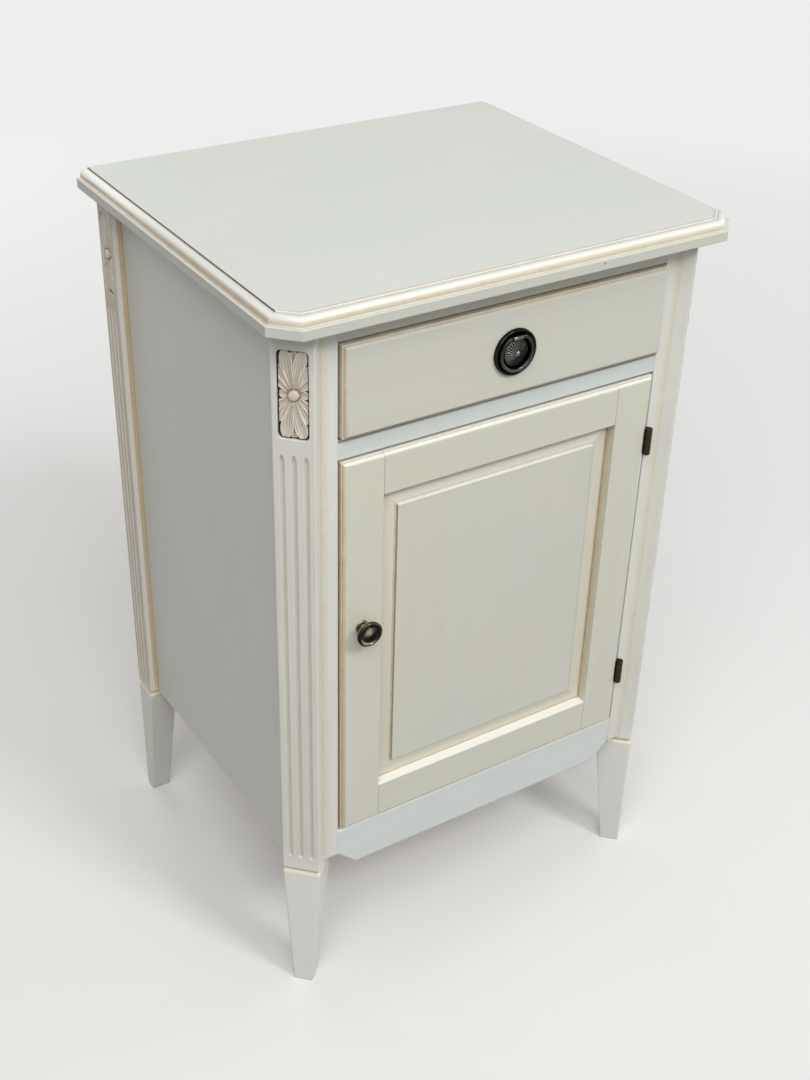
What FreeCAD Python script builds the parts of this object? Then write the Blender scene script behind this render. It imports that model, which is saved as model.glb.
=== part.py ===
import FreeCAD, Part
import os
import re
import Sketcher
from FreeCAD import Placement, Rotation, Vector

# Painted side cabinet: one drawer over one door, canted fluted posts and tapered legs.
# Millimetres, +Z up, the front faces -Y, the origin is on the floor under the middle of the top.

sizes = {
    # whole cabinet
    "top_width": 450,
    "top_depth": 380,
    "overall_height": 720,
    # top slab and its moulded edge
    "slab_thickness": 17,
    "fascia_height": 8.6,
    "corner_cant": 20.5,
    "ovolo_set_in": 3.6,
    "ovolo_radius": 6,
    "cove_radius": 1.3,
    "step_set_in": 11.3,
    "step_height": 0.8,
    # how far the top stands out past the body
    "front_overhang": 24,
    "side_overhang": 13,
    "back_overhang": 9,
    # posts and legs
    "post_side": 36,
    "post_proud": 9,
    "rear_post_side": 30,
    "arris_ease": 1,
    "ankle_height": 150,
    "ankle_groove_height": 6,
    "ankle_groove_depth": 2,
    "foot_side": 19,
    "rear_foot_width": 14,
    "rear_foot_depth": 20,
    # flutes and the recess for the rosette
    "flute_width": 3.8,
    "flute_spacing": 10,
    "rear_flute_spacing": 8,
    "flute_lift": 15,
    "flute_gap": 13.8,
    "flute_run_out": 7,
    "recess_width": 25.4,
    "rear_recess_width": 21.4,
    "recess_height": 75.6,
    "recess_depth": 3.4,
    "recess_corner": 4,
    "recess_drop": 19.6,
    "rosette_clearance": 0.2,
    "rosette_plate": 0.8,
    # front frame
    "frame_thickness": 18,
    "stile_width": 15.74,
    "top_rail_height": 20,
    "drawer_opening_height": 84.4,
    "middle_rail_height": 18.6,
    "stile_lift": 3.8,
    "apron_height": 48.3,
    "apron_rise": 18.7,
    "apron_run": 19.4,
    "tenon_length": 8,
    "tenon_thickness": 6,
    "tenon_shoulder": 3,
    # boards of the body
    "panel_set_back": 10,
    "side_panel_thickness": 12,
    "back_panel_thickness": 6,
    "rear_rail_thickness": 18,
    "rear_top_rail_height": 38,
    "bottom_board_thickness": 16,
    "cleat_width": 18,
    # runners, guides and kickers
    "runner_thickness": 14,
    "guide_height": 12,
    "guide_clearance": 0.6,
    "runner_clearance": 0.3,
    "stop_width": 30,
    "stop_height": 5,
    # moulded edge of the drawer front and the door
    "edge_rise": 2.8,
    "edge_step": 1.4,
    "edge_radius": 2.7,
    # drawer
    "drawer_gap": 1.6,
    "drawer_proud": 6.5,
    "drawer_front_thickness": 18.5,
    "drawer_box_set_in": 2.8,
    "drawer_back_gap": 10,
    "drawer_side_thickness": 10,
    "drawer_side_height": 79,
    "drawer_bottom_thickness": 5,
    "drawer_bottom_height": 7,
    "drawer_groove_depth": 5,
    # door
    "door_gap": 2,
    "door_proud": 3.8,
    "door_thickness": 19,
    "door_frame_width": 39,
    "panel_groove_depth": 8,
    "panel_tongue": 5,
    "panel_reveal": 10.3,
    "panel_play": 1,
    "bevel_width": 18,
    "bevel_rise": 3,
    "field_step": 1.5,
    # butt hinges
    "pin_stand_off": 4.5,
    "pin_diameter": 3,
    "pin_clearance": 0.05,
    "barrel_diameter": 7,
    "hinge_height": 26,
    "knuckle_gap": 0.3,
    "leaf_thickness": 0.8,
    "leaf_depth": 13,
    "upper_hinge_set_in": 66,
    "lower_hinge_set_in": 63,
    "hinge_screw_diameter": 2.4,
    "hinge_screw_length": 10,
    "hinge_screw_spread": 16,
    # magnetic catch
    "catch_width": 40,
    "catch_depth": 14,
    "catch_height": 26,
    "catch_drop": 14,
    "catch_set_in": 22,
    "catch_nose": 1,
    "catch_margin": 2,
    "catch_plate_thickness": 1.5,
    "catch_plate_height": 9,
    # knob
    "knob_rise": 31.8,
    "knob_diameter": 24,
    "knob_base_diameter": 13,
    "knob_neck_diameter": 6.4,
    "knob_length": 16,
    "knob_dome_diameter": 14.8,
    "knob_dome_height": 2.2,
    # ring pull
    "plate_diameter": 41,
    "plate_rim_width": 2.3,
    "plate_rim_height": 3.6,
    "plate_floor": 1.5,
    "boss_diameter": 23.6,
    "boss_wall": 4.2,
    "boss_height": 7.8,
    "ring_diameter": 30.8,
    "ring_thickness": 3.8,
    "ring_stand_off": 4,
    "ring_end_spread": 15,
    "collar_diameter": 4.4,
    "axle_diameter": 2.4,
    "lug_width": 10,
    "lug_height": 4.8,
    "lug_depth": 4.6,
    # fixings
    "bolt_diameter": 4,
    "bolt_head_diameter": 8,
    "bolt_head_height": 2.4,
    "bolt_grip": 4,
    "top_screw_bite": 10,
    "top_screw_inset": 60,
    # extra length of every cutting solid
    "overrun": 5,
}

# Places that follow from the sizes.
places = {
    "slab_bottom": "overall_height - slab_thickness",
    "frame_front": "-top_depth / 2 + front_overhang",
    "frame_back": "frame_front + frame_thickness",
    "top_rail_bottom": "slab_bottom - top_rail_height",
    "middle_rail_top": "top_rail_bottom - drawer_opening_height",
    "middle_rail_bottom": "middle_rail_top - middle_rail_height",
    "stile_bottom": "ankle_height + stile_lift",
    "apron_bottom": "stile_bottom - apron_rise",
    "apron_top": "apron_bottom + apron_height",
    "post_outside": "top_width / 2 - side_overhang",
    "half_diagonal": "post_side / sqrt(2)",
    "post_axis_across": "post_outside - half_diagonal",
    "post_axis_along": "frame_front - post_proud + half_diagonal",
    "post_back_corner": "post_axis_along + half_diagonal",
    "stile_outside": "post_axis_across - post_proud",
    "half_opening": "stile_outside - stile_width",
    "recess_middle": "slab_bottom - recess_drop - recess_height / 2",
    "flute_top": "recess_middle - recess_height / 2 - flute_gap",
    "flute_bottom": "ankle_height + flute_lift",
    "panel_outside": "post_outside - panel_set_back",
    "panel_inside": "panel_outside - side_panel_thickness",
    "panel_front": "post_back_corner - (panel_outside - post_axis_across)",
    "rear_post_back": "top_depth / 2 - back_overhang",
    "rear_post_front": "rear_post_back - rear_post_side",
    "rear_post_inside": "post_outside - rear_post_side",
    "rear_rail_back": "rear_post_front + rear_rail_thickness",
    "board_bottom": "apron_top - bottom_board_thickness",
    "drawer_face": "frame_front - drawer_proud",
    "drawer_front_back": "drawer_face + drawer_front_thickness",
    "half_drawer": "half_opening - drawer_gap",
    "drawer_low": "middle_rail_top + drawer_gap",
    "drawer_high": "top_rail_bottom - drawer_gap",
    "drawer_middle": "(drawer_low + drawer_high) / 2",
    "box_outside": "half_opening - drawer_box_set_in",
    "box_inside": "box_outside - drawer_side_thickness",
    "box_back": "rear_post_front - drawer_back_gap",
    "box_low": "middle_rail_top + runner_clearance",
    "box_high": "box_low + drawer_side_height",
    "tray_low": "box_low + drawer_bottom_height",
    "tray_high": "tray_low + drawer_bottom_thickness",
    "door_face": "frame_front - door_proud",
    "door_back": "door_face + door_thickness",
    "half_door": "half_opening - door_gap",
    "half_panel": "half_door - door_frame_width",
    "door_low": "apron_top + door_gap",
    "door_high": "middle_rail_bottom - door_gap",
    "panel_low": "door_low + door_frame_width",
    "panel_high": "door_high - door_frame_width",
    "tongue_front": "door_face + panel_reveal",
    "tongue_back": "tongue_front + panel_tongue",
    "pin_across": "half_opening - door_gap / 2",
    "pin_along": "frame_front - pin_stand_off",
    "leaf_back": "frame_front + leaf_depth",
    "leaf_front": "pin_along + barrel_diameter / 2 + knuckle_gap",
    "knuckle_height": "(hinge_height - 2 * knuckle_gap) / 3",
    "knob_across": "half_door - door_frame_width / 2",
    "knob_height": "(door_low + door_high) / 2 + knob_rise",
    "ring_axle_rise": "sqrt(ring_diameter ^ 2 - ring_end_spread ^ 2) / 2",
}

doc = FreeCAD.newDocument("side_cabinet")
size = doc.addObject("Spreadsheet::Sheet", "size")
place = doc.addObject("Spreadsheet::Sheet", "place")
parts = {}
sides = {"left": -1, "right": 1}


def linked(text, places_prefix="place."):
    # Turns plain size names into references to the two sheets.
    def reference(match):
        word = match.group(0)
        if word in sizes:
            return "size." + word
        if word in places:
            return places_prefix + word
        return word
    return re.sub(r"[a-z][a-z_]*", reference, text)


for row, (name, number) in enumerate(sizes.items(), 1):
    size.set(f"A{row}", name)
    size.set(f"B{row}", str(number))
    size.setAlias(f"B{row}", name)
for row, (name, formula) in enumerate(places.items(), 1):
    place.set(f"A{row}", name)
    place.set(f"B{row}", "=" + linked(formula, ""))
    place.setAlias(f"B{row}", name)
doc.recompute()


def measure(text):
    return float(size.evalExpression(linked(text)))


def bind(thing, field, text):
    thing.setExpression(field, linked(text))


def put(thing, across, along, height):
    for letter, text in zip("xyz", (across, along, height)):
        bind(thing, f".Placement.Base.{letter}", text)


def keep(name, thing):
    thing.Label = name
    parts[name] = thing
    return thing


def mirrored(side, low, high):
    # The span between two distances from the middle, on the left or the right.
    if sides[side] > 0:
        return (low, high)
    return (f"-({high})", f"-({low})")


def signed(side, text):
    return text if sides[side] > 0 else f"-({text})"


def board(name, across, along, height):
    box = doc.addObject("Part::Box", name)
    for field, (low, high) in zip(("Length", "Width", "Height"), (across, along, height)):
        bind(box, field, f"({high}) - ({low})")
    put(box, across[0], along[0], height[0])
    return box


def rod(name, diameter, start, length, axis):
    turns = {
        "x": Rotation(Vector(0, 1, 0), 90),
        "y": Rotation(Vector(1, 0, 0), -90),
        "z": Rotation(),
    }
    cylinder = doc.addObject("Part::Cylinder", name)
    bind(cylinder, "Radius", f"({diameter}) / 2")
    bind(cylinder, "Height", length)
    cylinder.Placement = Placement(Vector(), turns[axis])
    put(cylinder, *start)
    return cylinder


def join(name, pieces):
    fuse = doc.addObject("Part::MultiFuse", name)
    fuse.Shapes = pieces
    return fuse


def cut(name, base, tools):
    result = doc.addObject("Part::Cut", name)
    result.Base = base
    result.Tool = tools[0] if len(tools) == 1 else join(name + "_tools", tools)
    return result


def group(name, pieces):
    compound = doc.addObject("Part::Compound", name)
    compound.Links = pieces
    return compound


def body_for(name):
    return doc.addObject("PartDesign::Body", name)


def outline(body, name, plane, points, depth=None, shift=None):
    # A closed outline on one of the body's own planes. Each point is (x, y), or (x, y, mx, my)
    # where the edge that ends there is an arc through (mx, my).
    sketch = body.newObject("Sketcher::SketchObject", name)
    base = next(feature for feature in body.Origin.OriginFeatures if feature.Role == plane)
    sketch.AttachmentSupport = [(base, "")]
    sketch.MapMode = "FlatFace"
    if depth:
        bind(sketch, ".AttachmentOffset.Base.z", depth)
    if shift:
        bind(sketch, ".AttachmentOffset.Base.x", shift)
    corners = [Vector(measure(point[0]), measure(point[1]), 0) for point in points]
    ends = []

    def pin(geometry, spot, point):
        for kind, text in zip(("DistanceX", "DistanceY"), point):
            number = sketch.addConstraint(
                Sketcher.Constraint(kind, -1, 1, geometry, spot, measure(text)))
            bind(sketch, f"Constraints[{number}]", text)

    for index, point in enumerate(points):
        start, end = corners[index - 1], corners[index]
        if len(point) == 2:
            ends.append((sketch.addGeometry(Part.LineSegment(start, end)), 1, 2))
            continue
        middle = Vector(measure(point[2]), measure(point[3]), 0)
        arc = sketch.addGeometry(Part.Arc(start, middle, end))
        first_is_start = sketch.getPoint(arc, 1).distanceToPoint(start) < \
            sketch.getPoint(arc, 1).distanceToPoint(end)
        ends.append((arc, 1, 2) if first_is_start else (arc, 2, 1))
        mark = sketch.addGeometry(Part.Point(middle), True)
        pin(mark, 1, point[2:])
        sketch.addConstraint(Sketcher.Constraint("PointOnObject", mark, 1, arc))
    for index, point in enumerate(points):
        edge, _, finish = ends[index]
        following, begin, _ = ends[(index + 1) % len(points)]
        sketch.addConstraint(Sketcher.Constraint("Coincident", edge, finish, following, begin))
        pin(edge, finish, point[:2])
    return sketch


def rectangle(across, height):
    return [(across[0], height[0]), (across[1], height[0]), (across[1], height[1]), (across[0], height[1])]


def pad(body, name, sketch, length, backwards=False):
    feature = body.newObject("PartDesign::Pad", name)
    feature.Profile = sketch
    bind(feature, "Length", length)
    feature.Reversed = backwards
    return feature


def pocket(body, name, sketch, length):
    feature = body.newObject("PartDesign::Pocket", name)
    feature.Profile = sketch
    bind(feature, "Length", length)
    return feature


def loft(body, name, sections):
    feature = body.newObject("PartDesign::AdditiveLoft", name)
    feature.Profile = sections[0]
    feature.Sections = sections[1:]
    feature.Ruled = True
    return feature


def revolve(body, name, sketch):
    feature = body.newObject("PartDesign::Revolution", name)
    feature.Profile = sketch
    feature.ReferenceAxis = (sketch, ["V_Axis"])
    feature.Angle = 360
    return feature


def cap(diameter, height, tip):
    # The end of a turned outline: a spherical cap that meets the axis squarely.
    radius = f"((({height}) ^ 2 + ({diameter}) ^ 2 / 4) / (2 * ({height})))"
    quarter = f"({diameter}) / 4"
    return ("0", f"-({tip})", quarter, f"-({tip} - {radius} + sqrt({radius} ^ 2 - ({quarter}) ^ 2))")


def round_edges(body, name, feature, radius, chosen):
    # Rounds the edges whose middle point passes the test.
    doc.recompute()
    names = [f"Edge{number}" for number, edge in enumerate(feature.Shape.Edges, 1)
             if chosen(edge, edge.CenterOfMass)]
    rounding = body.newObject("PartDesign::Fillet", name)
    rounding.Base = (feature, names)
    bind(rounding, "Radius", radius)
    return rounding


def near(first, second):
    return abs(first - second) < measure("runner_clearance")


# Screws that hold the top down, through the kickers.
top_screw_reach = "(box_inside + panel_inside) / 2"
top_screw_rows = {"front": "post_back_corner + top_screw_inset", "back": "rear_post_front - top_screw_inset"}


# Top slab: a plain fascia, a cove, a broad ovolo and a small step up to the flat top.
def canted_outline(set_in):
    side = f"(top_width / 2 - {set_in})"
    front = f"(-top_depth / 2 + {set_in})"
    mitre = f"(corner_cant + {set_in} * (sqrt(2) - 1))"
    cant_along = f"-top_depth / 2 + {mitre}"
    cant_across = f"(top_width / 2 - {mitre})"
    back = "top_depth / 2"
    return [(f"-{side}", back), (f"-{side}", cant_along), (f"-{cant_across}", front),
            (cant_across, front), (side, cant_along), (side, back)]


def make_top_slab():
    body = body_for("top_slab_body")
    fascia_top = "slab_bottom + fascia_height"
    step_bottom = "overall_height - step_height"
    back = measure("top_depth / 2")
    fascia = outline(body, "fascia_outline", "XY_Plane", canted_outline("0 * step_set_in"), "slab_bottom")
    pad(body, "fascia", fascia, "fascia_height")
    upper = outline(body, "ovolo_outline", "XY_Plane", canted_outline("ovolo_set_in"), fascia_top)
    raised = pad(body, "ovolo_block", upper, f"{step_bottom} - ({fascia_top})")

    def top_edge(edge, middle):
        return near(middle.z, measure(step_bottom)) and not near(middle.y, back)

    ovolo = round_edges(body, "ovolo", raised, "ovolo_radius", top_edge)

    def inner_edge(edge, middle):
        room = measure("ovolo_set_in") / 2
        inside = abs(middle.x) < measure("top_width / 2") - room and middle.y > -back + room
        corner = measure("top_width / 2 + top_depth / 2 - corner_cant") - room
        off_cant = abs(middle.x) - middle.y < corner
        return near(middle.z, measure(fascia_top)) and inside and off_cant and not near(middle.y, back)

    round_edges(body, "cove", ovolo, "cove_radius", inner_edge)
    flat = outline(body, "step_outline", "XY_Plane", canted_outline("step_set_in"), step_bottom)
    pad(body, "step", flat, "step_height")
    holes = [rod(f"slab_hole_{side}_{end}", "bolt_diameter",
                 (signed(side, top_screw_reach), along, "slab_bottom - overrun"),
                 "top_screw_bite + overrun", "z")
             for side in sides for end, along in top_screw_rows.items()]
    keep("top_slab", cut("top_slab_bored", body, holes))


# Posts: each is lofted from the foot through the ankle groove to the head, in a frame of its own
# whose -Y side is the fluted face, then turned to its corner.
def flute_half(body, width, face, first):
    # Half of a flute: round at its foot, and run out to a point at its head.
    low, high, radius = "flute_bottom", "flute_top", f"({width} / 2)"
    turn = "(1 - 1 / sqrt(2))"
    tip = f"{radius} / sqrt(2)"
    chord = f"sqrt({radius} * {radius} + flute_run_out * flute_run_out)"
    bulge = f"{radius} - {chord} * ({chord} - flute_run_out) / (2 * {radius})"
    points = [
        ("0", low),
        (radius, f"{low} + {radius}", tip, f"{low} + {radius} * {turn}"),
        (radius, f"{high} - flute_run_out"),
        ("0", high, bulge, f"{high} - flute_run_out + {chord} / 2"),
    ]
    return outline(body, "flute_outline", "XZ_Plane", points, face, first)


def eased(across, along):
    # A square section whose two corners beside the fluted face are eased off.
    (left, right), (front, back) = across, along
    return [(f"{left} + arris_ease", front), (f"{right} - arris_ease", front), (right, f"{front} + arris_ease"),
            (right, back), (left, back), (left, f"{front} + arris_ease")]


def make_post(name, turn, across, along, half, foot, spacing, recess):
    body = body_for(name + "_body")
    neck = f"({half} - ankle_groove_depth)"
    full = ((f"-({half})", half), (f"-({half})", half))
    waist = ((f"-{neck}", neck), (f"-{neck}", neck))
    levels = [
        ("floor", foot, "0"),
        ("ankle", full, "ankle_height - ankle_groove_height"),
        ("groove", waist, "ankle_height - ankle_groove_height / 2"),
        ("shoulder", full, "ankle_height"),
        ("head", full, "slab_bottom"),
    ]
    sections = [outline(body, level, "XY_Plane", eased(*spans), height) for level, spans, height in levels]
    loft(body, "shaft", sections)
    doc.recompute()
    flute = body.newObject("PartDesign::Groove", "flute")
    flute.Profile = flute_half(body, "flute_width", half, f"-{spacing}")
    flute.ReferenceAxis = (flute.Profile[0], ["V_Axis"])
    flute.Angle = 360
    doc.recompute()
    flutes = body.newObject("PartDesign::LinearPattern", "flutes")
    flutes.Originals = [flute]
    flutes.Direction = (flute.Profile[0], ["H_Axis"])
    bind(flutes, "Length", f"2 * {spacing}")
    flutes.Occurrences = 3
    body.Tip = flutes
    opening = rectangle((f"-{recess} / 2", f"{recess} / 2"),
                        ("recess_middle - recess_height / 2", "recess_middle + recess_height / 2"))
    sunk = pocket(body, "recess", outline(body, "recess_outline", "XZ_Plane", opening, half), "recess_depth")

    def corner_edge(edge, middle):
        upright = abs(edge.BoundBox.ZLength) < measure("runner_clearance")
        narrow = abs(edge.BoundBox.XLength) < measure("runner_clearance")
        inside = abs(middle.z - measure("recess_middle")) < measure("recess_height")
        deep = abs(edge.BoundBox.YLength - measure("recess_depth")) < measure("runner_clearance")
        return upright and narrow and inside and deep

    round_edges(body, "recess_corners", sunk, "recess_corner", corner_edge)
    body.Placement = Placement(Vector(), Rotation(Vector(0, 0, 1), turn))
    put(body, across, along, "0")
    return body


def make_posts():
    half = "post_side / 2"
    foot = (("-foot_side / 2", "foot_side / 2"), (f"-{half}", f"-{half} + foot_side"))
    rear_half = "rear_post_side / 2"
    for side, sign in sides.items():
        body = make_post(f"front_post_{side}", 45 * sign, signed(side, "post_axis_across"),
                         "post_axis_along", half, foot, "flute_spacing", "recess_width")
        stile_seat = board(f"stile_seat_{side}", mirrored(side, "half_opening - overrun", "stile_outside"),
                           ("frame_front", "frame_back"), ("stile_bottom", "slab_bottom + overrun"))
        panel_seat = board(f"panel_seat_{side}", mirrored(side, "panel_inside", "panel_outside"),
                           ("panel_front", "post_back_corner + overrun"),
                           ("ankle_height", "slab_bottom + overrun"))
        keep(f"front_post_{side}", cut(f"front_post_{side}_seated", body, [stile_seat, panel_seat]))
        back = mirrored(side, f"{rear_half} - rear_foot_width", rear_half)
        rear_foot = (back, (f"-{rear_half}", f"-{rear_half} + rear_foot_depth"))
        keep(f"rear_post_{side}",
             make_post(f"rear_post_{side}", 90 * sign, signed(side, f"post_outside - {rear_half}"),
                       f"rear_post_back - {rear_half}", rear_half, rear_foot,
                       "rear_flute_spacing", "rear_recess_width"))


# Rosettes: an oblong flower on a thin plate, with two petals up, two down, small leaves between
# them and a round boss.
rosette_shares = {
    # name: across, up, half width, half height as shares of the plate, relief as a share of the depth
    "petal_upper_left": (-0.235, 0.255, 0.205, 0.215, 0.62),
    "petal_upper_right": (0.235, 0.255, 0.205, 0.215, 0.62),
    "petal_lower_left": (-0.235, -0.255, 0.205, 0.215, 0.62),
    "petal_lower_right": (0.235, -0.255, 0.205, 0.215, 0.62),
    "leaf_left": (-0.31, 0, 0.14, 0.055, 0.42),
    "leaf_right": (0.31, 0, 0.14, 0.055, 0.42),
    "leaf_top": (0, 0.40, 0.10, 0.09, 0.42),
    "leaf_bottom": (0, -0.40, 0.10, 0.09, 0.42),
    "boss": (0, 0, 0.18, 0.06, 0.85),
}


def make_rosette(name, turn, across, along, recess):
    wide = f"({recess} - 2 * rosette_clearance)"
    tall = "(recess_height - 2 * rosette_clearance)"
    plate = board(name + "_plate", (f"-{wide} / 2", f"{wide} / 2"), ("-rosette_plate", "0"),
                  (f"-{tall} / 2", f"{tall} / 2"))
    rounded = doc.addObject("Part::Fillet", name + "_plate_rounded")
    rounded.Base = plate
    doc.recompute()
    corner = measure("recess_corner")
    corners = [number for number, edge in enumerate(plate.Shape.Edges, 1)
               if edge.BoundBox.XLength < corner / 2 and edge.BoundBox.ZLength < corner / 2]
    rounded.Edges = [(number, corner, corner) for number in corners]
    pieces = [rounded]
    for leaf, (right, up, half_width, half_height, relief) in rosette_shares.items():
        lobe = doc.addObject("Part::Ellipsoid", f"{name}_{leaf}")
        bind(lobe, "Radius1", f"{half_height} * {tall}")
        bind(lobe, "Radius2", f"{half_width} * {wide}")
        bind(lobe, "Radius3", f"{relief} * recess_depth")
        put(lobe, f"{right} * {wide}", "-rosette_plate / 2", f"{up} * {tall}")
        pieces.append(lobe)
    behind = board(name + "_behind", (f"-{wide}", wide), ("0", "recess_depth * 2"), (f"-{tall}", tall))
    flower = cut(name + "_flower", join(name + "_lobes", pieces), [behind])
    flower.Placement = Placement(Vector(), Rotation(Vector(0, 0, 1), turn))
    put(flower, across, along, "recess_middle")
    keep(name, flower)


def make_rosettes():
    reach = "(post_side / 2 - recess_depth) / sqrt(2)"
    for side, sign in sides.items():
        make_rosette(f"front_rosette_{side}", 45 * sign, signed(side, f"post_axis_across + {reach}"),
                     f"post_axis_along - {reach}", "recess_width")
        make_rosette(f"rear_rosette_{side}", 90 * sign, signed(side, "post_outside - recess_depth"),
                     "rear_post_back - rear_post_side / 2", "rear_recess_width")


# Front frame: two stiles rebated into the posts, and three rails tenoned into the stiles.
rails = {
    "top_rail": ("top_rail_bottom", "slab_bottom"),
    "middle_rail": ("middle_rail_bottom", "middle_rail_top"),
    "apron_rail": ("stile_bottom", "apron_top"),
}


def tenon(name, rail, side):
    low, high = rails[rail]
    middle = "(frame_front + frame_back) / 2"
    return board(name, mirrored(side, "half_opening", "half_opening + tenon_length"),
                 (f"{middle} - tenon_thickness / 2", f"{middle} + tenon_thickness / 2"),
                 (f"{low} + tenon_shoulder", f"{high} - tenon_shoulder"))


def make_front_frame():
    for side in sides:
        plain = board(f"front_stile_{side}_plain", mirrored(side, "half_opening", "stile_outside"),
                      ("frame_front", "frame_back"), ("stile_bottom", "slab_bottom"))
        tools = [tenon(f"{rail}_mortise_{side}", rail, side) for rail in rails]
        if side == "right":
            tools += hinge_screws("stile_bore", "frame")
        keep(f"front_stile_{side}", cut(f"front_stile_{side}_mortised", plain, tools))
    for rail, span in rails.items():
        if rail == "apron_rail":
            shoulder = make_apron()
        else:
            shoulder = board(rail + "_plain", ("-half_opening", "half_opening"),
                             ("frame_front", "frame_back"), span)
        tongues = [tenon(f"{rail}_tenon_{side}", rail, side) for side in sides]
        keep(rail, join(rail + "_tenoned", [shoulder] + tongues))


def make_apron():
    body = body_for("apron_body")
    run = "(half_opening - apron_run)"
    points = [("-half_opening", "apron_top"), ("-half_opening", "stile_bottom"), (f"-{run}", "apron_bottom"),
              (run, "apron_bottom"), ("half_opening", "stile_bottom"), ("half_opening", "apron_top")]
    pad(body, "apron", outline(body, "apron_outline", "XZ_Plane", points, "-frame_front"),
        "frame_thickness", backwards=True)
    return body


# Boards of the body: sides, back, rear rails, bottom and its cleats.
def make_body_boards():
    inside = ("-rear_post_inside", "rear_post_inside")
    rear = ("rear_post_front", "rear_rail_back")
    for side in sides:
        keep(f"side_panel_{side}",
             board(f"side_panel_{side}_board", mirrored(side, "panel_inside", "panel_outside"),
                   ("panel_front", "rear_post_front"), ("ankle_height", "slab_bottom")))
        keep(f"bottom_cleat_{side}",
             board(f"bottom_cleat_{side}_board", mirrored(side, "panel_inside - cleat_width", "panel_inside"),
                   ("post_back_corner", "rear_post_front"), ("ankle_height", "board_bottom")))
    keep("rear_rail_top", board("rear_rail_top_board", inside, rear,
                                ("slab_bottom - rear_top_rail_height", "slab_bottom")))
    keep("rear_rail_bottom", board("rear_rail_bottom_board", inside, rear, ("ankle_height", "board_bottom")))
    keep("back_panel", board("back_panel_board", inside,
                             ("rear_rail_back", "rear_rail_back + back_panel_thickness"),
                             ("ankle_height", "slab_bottom")))
    make_bottom_board()


def make_bottom_board():
    body = body_for("bottom_board_body")
    front = "(post_axis_across - half_diagonal + frame_back - post_axis_along)"
    half = [("rear_post_inside", "rear_rail_back"), ("rear_post_inside", "rear_post_front"),
            ("panel_inside", "rear_post_front"),
            ("panel_inside", "post_back_corner - (panel_inside - post_axis_across)"),
            ("post_axis_across", "post_back_corner"), (front, "frame_back")]
    points = half + [(f"-{across}", along) for across, along in reversed(half)]
    sheet = outline(body, "board_outline", "XY_Plane", points, "board_bottom")
    pad(body, "board", sheet, "bottom_board_thickness")
    keep("bottom_board", body)


# Runners with their guides, kickers above the drawer, and the stops behind its front.
def make_drawer_carriers():
    span = ("post_back_corner", "rear_post_front")
    for side in sides:
        keep(f"drawer_runner_{side}",
             board(f"drawer_runner_{side}_board", mirrored(side, "box_inside", "panel_inside"), span,
                   ("middle_rail_top - runner_thickness", "middle_rail_top")))
        keep(f"drawer_guide_{side}",
             board(f"drawer_guide_{side}_board", mirrored(side, "box_outside + guide_clearance", "panel_inside"),
                   span, ("middle_rail_top", "middle_rail_top + guide_height")))
        plain = board(f"kicker_{side}_plain", mirrored(side, "box_inside", "panel_inside"), span,
                      ("top_rail_bottom", "slab_bottom"))
        holes = [rod(f"kicker_{side}_hole_{end}", "bolt_diameter",
                     (signed(side, top_screw_reach), along, "top_rail_bottom - overrun"),
                     "top_rail_height + 2 * overrun", "z")
                 for end, along in top_screw_rows.items()]
        keep(f"drawer_kicker_{side}", cut(f"drawer_kicker_{side}_bored", plain, holes))
    keep("drawer_stops", group("drawer_stops_pair", [
        board(f"drawer_stop_{side}", mirrored(side, "half_opening / 2", "half_opening / 2 + stop_width"),
              ("drawer_front_back + runner_clearance", "frame_back"),
              ("middle_rail_top", "middle_rail_top + stop_height"))
        for side in sides]))
    keep("top_screws", group("top_screw_set", [
        top_screw(f"{side}_{end}", signed(side, top_screw_reach), along)
        for side in sides for end, along in top_screw_rows.items()]))


def top_screw(label, across, along):
    shank = rod(f"top_screw_shank_{label}", "bolt_diameter", (across, along, "top_rail_bottom"),
                "top_rail_height + top_screw_bite", "z")
    head = rod(f"top_screw_head_{label}", "bolt_head_diameter",
               (across, along, "top_rail_bottom - bolt_head_height"), "bolt_head_height", "z")
    return join(f"top_screw_{label}", [shank, head])


# A board with the moulded edge of the drawer front and the door: a narrow step, then a quarter round.
def moulded_board(name, across, height, face, thickness, moulded):
    body = body_for(name + "_body")
    seat = f"({face} + edge_rise)"
    base = outline(body, "base_outline", "XZ_Plane", rectangle(across, height), f"-{seat}")
    pad(body, "base", base, f"{thickness} - edge_rise", backwards=True)
    left = f"{across[0]} + edge_step" if "left" in moulded else across[0]
    right = f"{across[1]} - edge_step" if "right" in moulded else across[1]
    low = f"{height[0]} + edge_step" if "bottom" in moulded else height[0]
    high = f"{height[1]} - edge_step" if "top" in moulded else height[1]
    top = outline(body, "raised_outline", "XZ_Plane", rectangle((left, right), (low, high)), f"-{seat}")
    raised = pad(body, "raised", top, "edge_rise")

    def moulded_edge(edge, middle):
        tests = {"left": near(middle.x, measure(left)), "right": near(middle.x, measure(right)),
                 "bottom": near(middle.z, measure(low)), "top": near(middle.z, measure(high))}
        return near(middle.y, measure(face)) and any(tests[side] for side in moulded)

    round_edges(body, "quarter_round", raised, "edge_radius", moulded_edge)
    return body


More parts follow.
